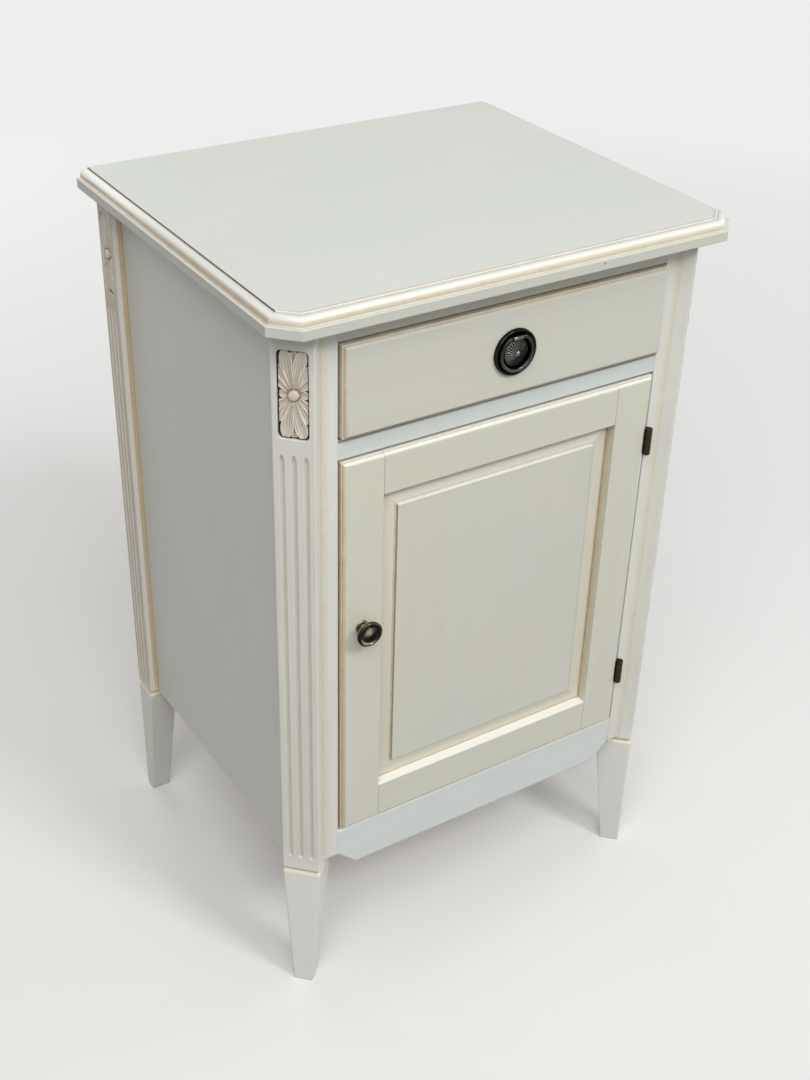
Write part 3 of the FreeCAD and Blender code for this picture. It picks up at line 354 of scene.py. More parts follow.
def nicks(at):
    along = addNode(at.tree, "ShaderNodeCombineXYZ", {"X": at.x + at.y, "Y": at.z}).outputs[0]
    cells = addNode(at.tree, "ShaderNodeTexVoronoi", {"Vector": along, "Scale": topEdge["nickCells"]},
                    voronoi_dimensions="2D").outputs
    chance = Level(addNode(at.tree, "ShaderNodeSeparateColor", {"Color": cells["Color"]}).outputs[0])
    few = chance.reckon("GREATER_THAN", chance, topEdge["nickFew"])
    return Level(cells["Distance"]).ramp(*topEdge["nickSize"]) * few * at.faceZ.ramp(*topEdge["nickUpright"])


# the ground: streaks, brush marks, the door's field and the foot's paler tone, a painted light
def groundCoats(kind, at):
    yield at.streak.ramp(*coats["streak"], 0.0, kind["streak"]), "wash"
    yield at.brush.ramp(*coats["brush"]), "glaze"
    if "field" in kind:
        yield from fieldCoats(at)
    if "foot" in kind:
        low, high, soft = ankle["low"], ankle["high"], ankle["soft"]
        yield at.z.ramp(high + ankle["footFade"], low), fromRgb(*kind["foot"])
        yield at.z.between(low + soft, high, soft, ankle["wash"]) * at.broken, "wash"


# tan in the shade and on faces turned one way; the tan on sideways faces deepens towards the back as painted
# shade, the top's sideways faces go grey and the drawer's downward faces dark as painted shade, and the top's
# front faces are drawn darker and warmer
def tanCoats(kind, at):
    washed = at.shade.ramp(kind["washFrom"], coats["washFull"], 0.0, kind["wash"])
    yield washed * at.above, "wash"
    if "outerTan" in kind:
        yield at.wide.ramp(*kind["outerTan"]) * at.broken, "wash"
    if "sideTanAndShade" in kind:
        turned = at.sideways.ramp(*coats["aside"], 0.0, kind["sideTanAndShade"])
        yield turned * at.y.ramp(*kind["sideShadeDepth"]) * at.broken, "tanBand"
    if "frontDarker" in kind:
        yield at.faceY.ramp(*coats["frontOn"], 0.0, kind["frontDarker"]), "frontDarker"
    if "paintedShade" in kind:
        yield at.sideways.ramp(*coats["endOn"], 0.0, kind["paintedShade"]), "paintedShade"
    if "leftTan" in kind:
        yield at.x.ramp(*kind["leftTan"]) * at.broken, "tanBand"
    if "upTan" in kind:
        yield at.faceZ.ramp(*coats["upwards"], 0.0, kind["upTan"]) * at.broken, "glaze"
    if "paintedUnderShade" in kind:
        yield at.faceZ.ramp(*coats["downwards"], 0.0, kind["paintedUnderShade"]), "deepGlazeAndShade"


# level lines across a board: bottom, top, softness and share of each
def levelLines(kind, key, at, over):
    for line in kind.get(key, ()):
        yield at.z.between(*line), over


# glaze in the nooks; near black in the deepest nooks and gaps as painted shade; dark lines in joints and
# carving; painted shadow lines across boards
def nookCoats(kind, at):
    glazed = at.nook.ramp(*coats["nookTan"], 0.0, kind["nookGlaze"])
    yield glazed * at.broken * at.above, "glaze"
    gapShade = at.nook.ramp(*coats["nookShade"])
    if "foot" in kind:
        groove = at.z.between(ankle["low"], ankle["high"], ankle["soft"])
        gapShade = gapShade * (1.0 - groove)
        yield groove * at.faceZ.ramp(*ankle["litLedge"]), "cream"
    yield gapShade, "deepGlazeAndShade"
    if "joint" in kind:
        yield at.wide.ramp(*kind["joint"]), "deepGlazeAndShade"
    if "carved" in kind:
        hollow = attribute(at.tree, "carveGlazeAndShade")
        yield hollow.ramp(*coats["carvedTan"]), "glaze"
        yield hollow.ramp(*coats["carvedDeep"]), "deepGlazeAndShade"
        yield attribute(at.tree, "carveRim") * coats["carvedRim"], "rubbedAndHighlight"
    yield from levelLines(kind, "paintedShadowLines", at, "brownGlazeAndShadow")


# rubbed edges, painted highlights on ledges that face up and along the apron's top edge, the rear post's
# strip of painted shade and highlight, then the chips
def edgeCoats(kind, at):
    outer = at.edge * at.nook.ramp(*coats["openEdge"])
    if "sideTanAndShade" in kind:
        outer = outer * at.sideways.ramp(*coats["notAside"])
    yield outer * coats["edgeShare"], "rubbedAndHighlight"
    yield from levelLines(kind, "hem", at, "cream")
    yield from levelLines(kind, "crest", at, "rubbedAndHighlight")
    if "frontStrip" in kind:
        (tan, highlight), soft = kind["frontStrip"], coats["stripSoft"]
        strip = at.faceY.ramp(*coats["stripFront"]) * at.above
        yield at.wide.ramp(tan + soft, tan - soft) * strip * at.broken * coats["stripShade"], "wash"
        yield at.wide.ramp(highlight - soft, highlight + soft) * strip * coats["stripHighlight"], "rubbedAndHighlight"
    if "paintedTopHighlight" in kind:
        litLedge = at.faceZ.ramp(*coats["litLedge"], 0.0, kind["paintedTopHighlight"])
        yield litLedge * at.z.ramp(*coats["doorTop"]), "rubbedAndHighlight"
    if "topEdge" in kind:
        yield from topCoats(at)
    yield outer * at.patch.ramp(*coats["chips"]), "chip"
    if "topEdge" in kind:
        yield nicks(at), "chip"


def makePaint(name):
    kind = {**paintDefaults, **paintKinds[name]}
    material, tree, shader = newMaterial(name)
    at = pointMarks(tree, kind)
    colour = blend(at.broad.ramp(*coats["second"]), *(fromRgb(*tone) for tone in kind["tones"]))
    # the coats, from the ground outwards; most give their colour by name
    for layer in (groundCoats, tanCoats, nookCoats, edgeCoats):
        for share, over in layer(kind, at):
            colour = blend(share, colour, paint[over] if isinstance(over, str) else over)
    setSurface(shader, colour, at.brush, paint["sheen"], paint["bump"], at.edgeNormal)
    return material


# bare pine inside: growth lines along the grain, each darkening towards its late wood
pine = {
    "light": fromRgb(212, 182, 138), "dark": fromRgb(170, 128, 84), "old": fromRgb(190, 154, 108),
    "growth": {"Scale": 54.0, "Distortion": 13.0, "Detail": 3.0, "Detail Scale": 0.24,
               "Detail Roughness": 0.60},
    "fibre": (700, 3, 0.6), "broad": (12, 2, 0.5), "strength": (26, 2, 0.5),
    "oldShare": (0.35, 0.65, 0.0, 0.7), "lateWood": (0.30, 1.0), "lateShare": (0.35, 0.65, 0.20, 0.75),
    "fibreShare": (0.4, 0.7, 0.0, 0.25), "sheen": (0.5, 0.7), "bump": (0.15, 0.0003),
}


def makePine(name, grain):
    material, tree, shader = newMaterial(name)
    coords, stretch = objectCoords(tree), grainStretch[grain]
    along = addNode(tree, "ShaderNodeMapping", {"Vector": coords, "Scale": stretch}).outputs[0]
    rings = addNode(tree, "ShaderNodeTexWave", {"Vector": along, **pine["growth"]},
                    bands_direction="DIAGONAL", wave_profile="SAW").outputs["Fac"]
    fibre, broad, strength = (speckle(coords, *pine[noise], stretch)
                              for noise in ("fibre", "broad", "strength"))
    late = Level(rings).ramp(*pine["lateWood"]) * strength.ramp(*pine["lateShare"])
    colour = blend(broad.ramp(*pine["oldShare"]), pine["light"], pine["old"])
    colour = blend(late, colour, pine["dark"])
    colour = blend(fibre.ramp(*pine["fibreShare"]), colour, pine["dark"])
    setSurface(shader, colour, fibre, pine["sheen"], pine["bump"])
    return material


# metals: base colour, tarnish in the nooks, bright rubbed edges that also serve as painted highlights, tint
# of grazing reflections
metals = {
    "darkBronze": {"base": (28, 26, 25), "tarnish": (6, 6, 6), "rubbedAndHighlight": (190, 186, 180), "gloss": 0.18,
                   "rubbing": 0.25, "coat": 0.25, "grazing": (0.15, 0.15, 0.15, 1)},
    "antiqueBrass": {"base": (14, 13, 11), "tarnish": (5, 5, 4), "rubbedAndHighlight": (230, 220, 182), "gloss": 0.15,
                     "rubbing": 0.06, "coat": 0.15, "grazing": (0.25, 0.24, 0.20, 1)},
    "hingeMetal": {"base": (34, 28, 22), "tarnish": (14, 11, 9), "rubbedAndHighlight": (92, 76, 58), "gloss": 0.42,
                   "rubbing": 0.5},
    "wornBrass": {"base": (132, 112, 78), "tarnish": (60, 48, 32), "rubbedAndHighlight": (186, 166, 122),
                  "gloss": 0.34, "rubbing": 0.6},
    "zincSteel": {"base": (168, 168, 166), "tarnish": (104, 104, 102), "rubbedAndHighlight": (206, 206, 204),
                  "gloss": 0.34, "rubbing": 0.6},
}
metalDefaults = {"coat": 0.0, "grazing": (1, 1, 1, 1)}
metalWear = {
    "patch": (350, 4, 0.6), "edge": (0.0004, 0.99, 0.85), "raised": (0.51, 0.56),
    "nook": (0.003, 10), "nookDull": (0.80, 0.35), "nookOpen": (0.55, 0.90), "dull": (0.4, 0.65, 0.0, 0.25),
    "coatGloss": 0.10, "duller": (-0.04, 0.08), "bump": (0.06, 0.0002),
}


def makeMetal(name):
    finish = {**metalDefaults, **metals[name]}
    material, tree, shader = newMaterial(name)
    patch = speckle(objectCoords(tree), *metalWear["patch"])
    edge, edgeNormal = cornerMask(tree, *metalWear["edge"])
    nook = openness(tree, *metalWear["nook"])
    pointed = Level(addNode(tree, "ShaderNodeNewGeometry").outputs["Pointiness"])
    worn = pointed.ramp(*metalWear["raised"]).atLeast(edge)
    worn = worn * nook.ramp(*metalWear["nookOpen"], 0.0, finish["rubbing"])
    base, tarnish, rubbedAndHighlight = (fromRgb(*finish[key]) for key in ("base", "tarnish", "rubbedAndHighlight"))
    colour = blend(patch.ramp(*metalWear["dull"]), base, tarnish)
    colour = blend(nook.ramp(*metalWear["nookDull"]), colour, tarnish)
    colour = blend(worn, colour, rubbedAndHighlight)
    # from the pieces' own marks: tarnish together with painted shade, then wear together with painted
    # highlights
    colour = blend(attribute(tree, "tarnishAndShade"), colour, tarnish)
    colour = blend(attribute(tree, "wearAndGlint"), colour, rubbedAndHighlight)
    plug(1.0, shader.inputs["Metallic"])
    plug(finish["grazing"], shader.inputs["Specular Tint"])
    plug(finish["coat"], shader.inputs["Coat Weight"])
    plug(metalWear["coatGloss"], shader.inputs["Coat Roughness"])
    sheen = [finish["gloss"] + change for change in metalWear["duller"]]
    setSurface(shader, colour, patch, sheen, metalWear["bump"], edgeNormal)
    return material


# brown case of the catch
plastic = {"light": fromRgb(96, 68, 46), "dark": fromRgb(80, 56, 38), "grit": (900, 2, 0.55),
           "darkShare": (0.3, 0.7), "sheen": (0.42, 0.55)}


def makeCatchPlastic():
    material, tree, shader = newMaterial("catchPlastic")
    grit = speckle(objectCoords(tree), *plastic["grit"])
    colour = blend(grit.ramp(*plastic["darkShare"]), plastic["light"], plastic["dark"])
    setSurface(shader, colour, grit, plastic["sheen"])
    return material


finishes = {
    "pineDeep": makePine("pineDeep", "y"),
    "pineAcross": makePine("pineAcross", "x"),
    "pineUp": makePine("pineUp", "z"),
    "catchPlastic": makeCatchPlastic(),
}
finishes.update({name: makePaint(name) for name in paintKinds})
finishes.update({name: makeMetal(name) for name in metals})
print("finishes made:", len(finishes))


# both of each pair
def pairs(*names):
    return [name + side for name in names for side in ("_left", "_right")]


hingeLeaves = [f"hinge_{place}_{part}_leaf" for place in ("upper", "lower") for part in ("frame", "door")]
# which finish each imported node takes
dressing = {
    "paintTop": ["top_slab"],
    "paintTopRail": ["top_rail"],
    "paintRail": ["middle_rail"],
    "paintApron": ["apron_rail"],
    "paintStile": pairs("front_stile"),
    "paintPost": pairs("front_post"),
    "paintRearPost": pairs("rear_post"),
    "paintSide": pairs("side_panel"),
    "paintDrawer": ["drawer_front"],
    "paintDoorUp": pairs("door_stile"),
    "paintDoorAcross": ["door_rail_top", "door_rail_bottom"],
    "paintField": ["door_panel"],
    "pineUp": ["back_panel"],
    "pineAcross": ["rear_rail_top", "rear_rail_bottom", "bottom_board", "drawer_back", "drawer_bottom",
                   "drawer_stops"],
    "pineDeep": pairs("bottom_cleat", "drawer_runner", "drawer_guide", "drawer_kicker", "drawer_side"),
    "hingeMetal": hingeLeaves + ["hinge_upper_pin", "hinge_lower_pin"],
    "wornBrass": ["hinge_frame_screws", "hinge_door_screws"],
    "zincSteel": ["top_screws", "pull_bolt", "knob_screw", "catch_plate"],
    "catchPlastic": ["catch_magnet"],
}


def dressNodes():
    for finish, names in dressing.items():
        for name in names:
            for slot in nodes[name].material_slots:
                slot.link = "OBJECT"
                slot.material = finishes[finish]


dressNodes()
print("packed nodes dressed")


# helpers for the modelled pieces
def smoothStep(value):
    value = np.clip(value, 0.0, 1.0)
    return value * value * (3 - 2 * value)


def makePiece(name, points, faces, finish, body, replaced):
    mesh = bpy.data.meshes.new(name)
    mesh.from_pydata([tuple(point) for point in points], [], faces)
    mesh.validate()
    mesh.materials.append(finishes[finish])
    for face in mesh.polygons:
        face.use_smooth = True
    piece = bpy.data.objects.new(name, mesh)
    bpy.context.scene.collection.objects.link(piece)
    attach(piece, body)
    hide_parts(replaced)
    return piece


def setAttribute(piece, name, values):
    layer = piece.data.attributes.new(name, "FLOAT", "POINT")
    layer.data.foreach_set("value", np.asarray(values, dtype=np.float32))


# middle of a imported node's box, at its back
def backMiddle(node):
    low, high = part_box(node)
    return Vector(((low.x + high.x) / 2, high.y, (low.z + high.z) / 2))


# faces between loops of points that follow each other
def ringFaces(loops, count, offset, closedLoops=False):
    faces = []
    for loop in range(loops if closedLoops else loops - 1):
        here, there = offset + loop * count, offset + (loop + 1) % loops * count
        for i in range(count):
            after = (i + 1) % count
            faces.append((here + i, here + after, there + after, there + i))
    return faces


# turned pieces: a profile of (radius, height) pairs about an axis that points out of the front
def turnProfile(centre, profile, segments, relief=None):
    points, faces = [centre + Vector((0, -profile[0][1], 0))], []
    rings = profile[1:-1]
    for radius, height in rings:
        for step in range(segments):
            angle = 2 * math.pi * step / segments
            out = height + (relief(radius, angle) if relief else 0.0)
            points.append(centre + Vector((radius * math.sin(angle), -out, radius * math.cos(angle))))
    points.append(centre + Vector((0, -profile[-1][1], 0)))
    first, last = 1, 1 + (len(rings) - 1) * segments
    for step in range(segments):
        after = (step + 1) % segments
        faces.append((0, first + after, first + step))
        faces.append((len(points) - 1, last + step, last + after))
    faces += ringFaces(len(rings), segments, 1)
    return points, faces


def roundTurn(middle, radius, start, end, steps):
    turns = [math.radians(start + (end - start) * step / steps) for step in range(steps + 1)]
    return [(middle[0] + radius * math.cos(turn), middle[1] + radius * math.sin(turn)) for turn in turns]


# carved rosettes: three petals in each quarter, a leaf at each middle and a round boss
rosette = {
    "frontHalf": 0.0125, "rearHalf": 0.0105,
    "ground": 0.0004, "petalRise": 0.0026,
    "bossRadius": 0.0045, "bossRise": 0.0036,
    "corner": 0.0038,
    "rimSoftness": 0.13, "dish": 0.36, "veinDepth": 0.26, "veinHalf": 0.0005, "waver": 0.00035,
    "borderCut": 0.0009, "creaseRise": 0.00035, "bareRise": 0.0010,
    # how much glaze the creases, veins, the ring round the boss and the boss hold
    "creaseGlaze": 0.70, "veinGlaze": 0.70, "ringGlaze": 0.60, "bossGlaze": 0.04,
    "across": 100, "up": 300,
    # root and tip in metres from the middle, half width, where the tip starts, its bluntness, rise, veins
    "petals": {
        "corner": ((0.0006, 0.0028), (0.0074, 0.0372), 0.0058, 0.72, 2.2, 1.0, (-0.62, -0.22, 0.20, 0.60)),
        "flank": ((0.0024, 0.0030), (0.0130, 0.0236), 0.0046, 0.72, 2.6, 0.90, (-0.35, 0.32)),
        "hip": ((0.0032, 0.0018), (0.0128, 0.0118), 0.0040, 0.68, 2.4, 0.84, (-0.30, 0.30)),
        "side": ((0.0036, 0.0), (0.0118, 0.0), 0.0038, 0.62, 2.3, 0.66, (-0.50, 0.0, 0.50)),
        "crest": ((0.0, 0.0240), (0.0, 0.0372), 0.0040, 0.50, 1.9, 0.52, (0.0,)),
    },
}


# height, veins and pale rim of one petal
def petalRelief(across, up, root, tip, halfWidth, tipStart, blunt, rise, veins, flip):
    run, climb = tip[0] - root[0], tip[1] - root[1]
    length = math.hypot(run, climb)
    along = ((across - root[0]) * run + (up - root[1]) * climb) / length ** 2
    aside = ((across - root[0]) * climb - (up - root[1]) * run) / length
    swell = 0.16 + 0.84 * np.clip(along / tipStart, 0, 1) ** 0.9
    pastStart = np.clip((along - tipStart) / (1 - tipStart), 0, 1)
    localHalf = np.maximum(halfWidth * swell * (1 - pastStart ** blunt) ** (1 / blunt), 1e-6)
    spread = np.abs(aside) / localHalf
    inside = smoothStep((1 - spread) / rosette["rimSoftness"]) * (along > 0) * (along < 1)
    crown = 0.74 + 0.26 * np.sin(np.pi * np.clip(along, 0, 1) ** 0.9)
    dished = 1 - rosette["dish"] * (1 - smoothStep(spread / 0.85)) * smoothStep(along / 0.5)
    # veins cut with a fine tool, running out before the tip
    veined = np.zeros_like(across)
    for vein in veins:
        cut = smoothStep(1 - np.abs(aside - vein * flip * localHalf) / rosette["veinHalf"])
        veined = np.maximum(veined, cut * inside * smoothStep((0.95 - along) / 0.30))
    rim = smoothStep(1 - np.abs(spread - 0.84) / 0.12) * inside * smoothStep((along - 0.3) / 0.3)
    height = rosette["petalRise"] * rise * (inside * crown * dished - rosette["veinDepth"] * veined)
    return height, veined, rim


# every petal and its mirror images
def allPetals(across, up):
    for root, tip, *shape, veins in rosette["petals"].values():
        for mirrorAcross in (1, -1):
            for mirrorUp in (1, -1):
                if (mirrorAcross < 0 and tip[0] == 0) or (mirrorUp < 0 and tip[1] == 0):
                    continue
                start = (root[0] * mirrorAcross, root[1] * mirrorUp)
                end = (tip[0] * mirrorAcross, tip[1] * mirrorUp)
                yield petalRelief(across, up, start, end, *shape, veins, mirrorAcross * mirrorUp)


# height, glaze with painted shade, and pale rims of the whole carving
def rosetteRelief(across, up, narrow):
    # a slight waver, as cut by hand
    across = across + rosette["waver"] * np.sin(190 * up + 1.3)
    up = up + 1.6 * rosette["waver"] * np.sin(310 * across + 0.7)
    heights, veins, rims = (np.array(layer) for layer in zip(*allPetals(across / narrow, up)))
    order = np.argsort(heights, axis=0)
    top, vein, rim = (np.take_along_axis(layer, order[-1:], axis=0)[0] for layer in (heights, veins, rims))
    under = np.take_along_axis(heights, order[-2:-1], axis=0)[0]
    crease = smoothStep(1 - (top - under) / rosette["creaseRise"]) * smoothStep(under / 0.0004)
    centre = np.hypot(across, up) / rosette["bossRadius"]
    near = smoothStep((2.6 - centre) / 1.6)
    top = top * (0.55 + 0.45 * smoothStep((centre - 0.95) / 0.6))
    dome = rosette["bossRise"] * (0.60 + 0.40 * np.sqrt(np.clip(1 - centre ** 2, 0, 1)))
    relief = np.where(centre < 1, dome, top)
    # glaze between petals, in veins and round the boss; near black on bare ground as painted shade
    ring = smoothStep(1 - np.abs(centre - 1.04) / 0.14)
    hollow = np.maximum.reduce([rosette["creaseGlaze"] * crease, vein * (rosette["veinGlaze"] + 0.18 * near),
                                rosette["ringGlaze"] * ring, 0.06 + 0.14 * near])
    hollow = np.where(centre < 0.93, rosette["bossGlaze"], hollow)
    hollow = np.maximum(hollow, smoothStep(1.25 - relief / rosette["bareRise"]))
    return relief, hollow, np.where(centre < 1.1, 0.0, rim * (1 - crease))


def makeRosette(node, normal, halfWide):
    low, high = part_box(node)
    halfTall, corner = (high.z - low.z) / 2, rosette["corner"]
    normal = Vector(normal).normalized()
    right = normal.cross(Vector((0, 0, 1)))
    floorX = high.x - abs(right.x) * halfWide if normal.x < 0 else low.x + abs(right.x) * halfWide
    floor = Vector((floorX, high.y - abs(right.y) * halfWide, (low.z + high.z) / 2))
    # a grid with rounded corners
    columns, rows = rosette["across"] + 1, rosette["up"] + 1
    up = np.linspace(-halfTall, halfTall, rows)
    past = np.clip(np.abs(up) - (halfTall - corner), 0, corner)
    rowHalf = (halfWide - (corner - np.sqrt(corner ** 2 - past ** 2)))[:, None]
    across = np.linspace(-1, 1, columns)[None, :] * rowHalf
    upGrid = np.repeat(up[:, None], columns, axis=1)
    relief, hollow, rim = rosetteRelief(across, upGrid, halfWide / rosette["frontHalf"])
    # a cut line round the border, painted black as shade
    toBorder = np.minimum(rowHalf - np.abs(across), halfTall - np.abs(upGrid))
    cut = smoothStep((rosette["borderCut"] - toBorder) / (0.4 * rosette["borderCut"]))
    relief, hollow, rim = relief * (1 - cut), np.maximum(hollow, cut), rim * (1 - cut)
    height = relief + rosette["ground"]
    points = [floor + right * across[j, i] + Vector((0, 0, upGrid[j, i])) + normal * height[j, i]
              for j in range(rows) for i in range(columns)]
    faces = [(j * columns + i, j * columns + i + 1, (j + 1) * columns + i + 1, (j + 1) * columns + i)
             for j in range(rows - 1) for i in range(columns - 1)]
    # walls down to a flat back
    border = (list(range(columns)) + [j * columns + columns - 1 for j in range(1, rows)]
              + [(rows - 1) * columns + i for i in range(columns - 2, -1, -1)]
              + [j * columns for j in range(rows - 2, 0, -1)])
    base, count = len(points), len(border)
    points += [points[k] - normal * rosette["ground"] for k in border]
    faces += [(border[(k + 1) % count], border[k], base + k, base + (k + 1) % count) for k in range(count)]
    faces.append(tuple(base + k for k in reversed(range(count))))
    piece = makePiece(node.replace("rosette", "carving"), points, faces, "paintCarved", "carcass",
                      node)
    setAttribute(piece, "carveGlazeAndShade", np.concatenate([hollow.ravel(), np.ones(count)]))
    setAttribute(piece, "carveRim", np.concatenate([rim.ravel(), np.zeros(count)]))


for side, sign in (("left", -1), ("right", 1)):
    makeRosette("front_rosette_" + side, (sign, -1, 0), rosette["frontHalf"])
    makeRosette("rear_rosette_" + side, (sign, 0, 0), rosette["rearHalf"])
print("rosettes carved")


# ring pull: round plate with a bead rim, a domed sunburst and a bored lug
pull = {
    "plateRadius": 0.0205, "rimWidth": 0.0025, "rimHeight": 0.0036, "floorHeight": 0.0015, "ease": 0.0004,
    "bossRadius": 0.0118, "bossWall": 0.0036, "bossHeight": 0.0078, "bossEase": 0.0006,
    "hubRadius": 0.0026, "hubRise": 0.0011, "hubGlint": 0.32, "hubShade": 0.60,
    "rayCount": 26, "rayDepth": 0.0015, "rayInner": 0.0030, "rayOuter": 0.0108, "rayGlint": 0.75,
    "beadCount": 56, "beadDepth": 0.00035, "beadFade": 0.0003, "beadBright": 0.25, "beadDull": 0.8,
    # painted light on the sunburst: highlights towards the turn the light comes from, shade on the side away
    "glintTurn": math.radians(300), "leastGlint": 0.12, "awayShade": 0.92, "floorDull": 0.85,
    "segments": 336, "domeSteps": 30,
    "lugHalf": 0.005, "lugRadius": 0.0022, "boreRadius": 0.0014,
    # places along the lug as shares of its half, and the scale of its section
    "lugStations": [(-1.0, 0.86), (-0.90, 1.0), (0.90, 1.0), (1.0, 0.86)],
    "ringRadius": 0.0154, "wireRadius": 0.0019, "axleRadius": 0.0012, "collarRadius": 0.0023,
    "axleDrop": 0.0022, "ringSides": 20, "axleSteps": 20, "arcSteps": 120,
    # the ring's bright marks, partly handling wear and partly painted highlight
    "ringEndHalf": 0.0075, "ringWearAndGlint": 0.20, "topWearAndGlint": 0.25,
}


# depth below the dome, brightness and darkness at one point of the sunburst: painted highlight on the lit
# side, tarnish in the hollows and painted shade on the side away
def sunburst(radius, angle):
    inner, outer, boss = pull["rayInner"], pull["rayOuter"], pull["bossRadius"]
    lit = max(0, math.cos(angle - pull["glintTurn"]))
    if inner < radius < outer:
        fade = min(1, (radius - inner) / 0.0020, (outer - radius) / 0.0007)
        place = (pull["rayCount"] * angle / (2 * math.pi)) % 1 * 2 - 1
        valley = 1 - math.sqrt(max(0, 1 - place * place))
        glintShare = pull["leastGlint"] + (1 - pull["leastGlint"]) * lit
        bright = pull["rayGlint"] * glintShare * fade * (1 - abs(place)) ** 3
        dull = max(fade * valley ** 0.3, pull["awayShade"] * (1 - glintShare))
        return pull["rayDepth"] * fade * valley * (radius / outer), bright, dull
    if outer <= radius < boss:
        fade = min(1, (radius - outer) / pull["beadFade"], (boss - radius) / pull["beadFade"])
        valley = 0.5 - 0.5 * math.cos(pull["beadCount"] * angle)
        bright, dull = pull["beadBright"] * fade * (1 - valley), pull["beadDull"] * fade * valley
        return pull["beadDepth"] * fade * valley, bright, dull
    if radius <= inner:
        return 0.0, pull["hubGlint"] * lit, pull["hubShade"] * (1 - lit)
    return 0.0, 0.0, pull["floorDull"] if radius < pull["plateRadius"] - pull["rimWidth"] else 0.0


def pullProfile():
    edge, rim, floor, ease = pull["plateRadius"], pull["rimWidth"] / 2, pull["floorHeight"], pull["ease"]
    crown = (edge - rim, pull["rimHeight"] - rim)
    boss, wall, top, bossEase = pull["bossRadius"], pull["bossWall"], pull["bossHeight"], pull["bossEase"]
    profile = [(0, 0.0), (edge * 0.5, 0.0), (edge - ease, 0.0), (edge, ease), (edge, crown[1] * 0.6)]
    profile += roundTurn(crown, rim, 0, 180, 12)
    profile += [(edge - 2 * rim - 0.0002, floor + ease), (edge - 2 * rim - 0.0006, floor)]
    profile += [(edge - 2 * rim - 0.002, floor), (boss + bossEase, floor)]
    profile += [(boss + 0.0001, floor + ease), (boss, wall - bossEase)]
    profile += roundTurn((boss - bossEase, wall - bossEase), bossEase, 15, 90, 4)
    domeTop = top - pull["hubRise"]
    for step in range(1, pull["domeSteps"]):
        radius = (boss - 0.0007) * (1 - step / pull["domeSteps"])
        lift = wall + (domeTop - wall) * (1 - (radius / boss) ** 2)
        if radius < pull["hubRadius"]:
            lift += pull["hubRise"] * math.sqrt(1 - (radius / pull["hubRadius"]) ** 2)
        profile.append((radius, lift))
    return profile + [(0, top)]


# lug: a U round the ring's axle, set on the plate, with a bore
def pullLug(axle, plateBack, start):
    half, radius, bore, points = pull["lugHalf"], pull["lugRadius"], pull["boreRadius"], []
    reach = plateBack - pull["floorHeight"] * 0.6 - axle.y
    outer = [(reach, -radius)] + roundTurn((0, 0), radius, 270, 90, 12) + [(reach, radius)]
    turns = [math.atan2(z, y) for y, z in outer]
    stations, count = pull["lugStations"], len(outer)
    for station, scale in stations:
        points += [axle + Vector((station * half, y if y == reach else y * scale, z * scale))
                   for y, z in outer]
    faces = [tuple(reversed(face)) for face in ringFaces(len(stations), count, start)]
    inner, last = start + len(points), start + (len(stations) - 1) * count
    for station in (-1.0, 1.0):
        points += [axle + Vector((station * half, bore * math.cos(turn), bore * math.sin(turn)))
                   for turn in turns]
    faces += ringFaces(2, count, inner)
    for i in range(count):
        after = (i + 1) % count
        faces.append((start + i, start + after, inner + after, inner + i))
        faces.append((last + after, last + i, inner + count + i, inner + count + after))
    return points, faces


def makePullPlate():
    centre, profile, segments = backMiddle("pull_backplate"), pullProfile(), pull["segments"]
    points, faces = turnProfile(centre, profile, segments, lambda radius, angle: -sunburst(radius, angle)[0])
    worn = [sunburst(radius, 2 * math.pi * step / segments)
            for radius, _ in profile[1:-1] for step in range(segments)]
    lugPoints, lugFaces = pullLug(ringAxle(), centre.y, len(points))
    piece = makePiece("pull_rose", points + lugPoints, faces + lugFaces, "darkBronze", "drawer",
                      "pull_backplate")
    plain = [0.0] * len(lugPoints)
    setAttribute(piece, "wearAndGlint", [0.0] + [bright for _, bright, _ in worn] + [0.1] + plain)
    setAttribute(piece, "tarnishAndShade", [0.0] + [dull for _, _, dull in worn] + [0.0] + plain)


def ringAxle():
    low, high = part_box("pull_ring")
    return Vector((0, (low.y + high.y) / 2, high.z - pull["axleDrop"]))


# the ring's line: a straight axle, then the arc between its ends
def ringPath(axle, centre):
    half, radius = pull["ringEndHalf"], pull["ringRadius"]
    path = [(axle.x + half * (2 * step / pull["axleSteps"] - 1), axle.z) for step in range(pull["axleSteps"])]
    gap = math.asin(half / radius)
    for step in range(pull["arcSteps"]):
        turn = gap + (2 * math.pi - 2 * gap) * step / pull["arcSteps"]
        path.append((centre.x + radius * math.sin(turn), centre.z + radius * math.cos(turn)))
    return path


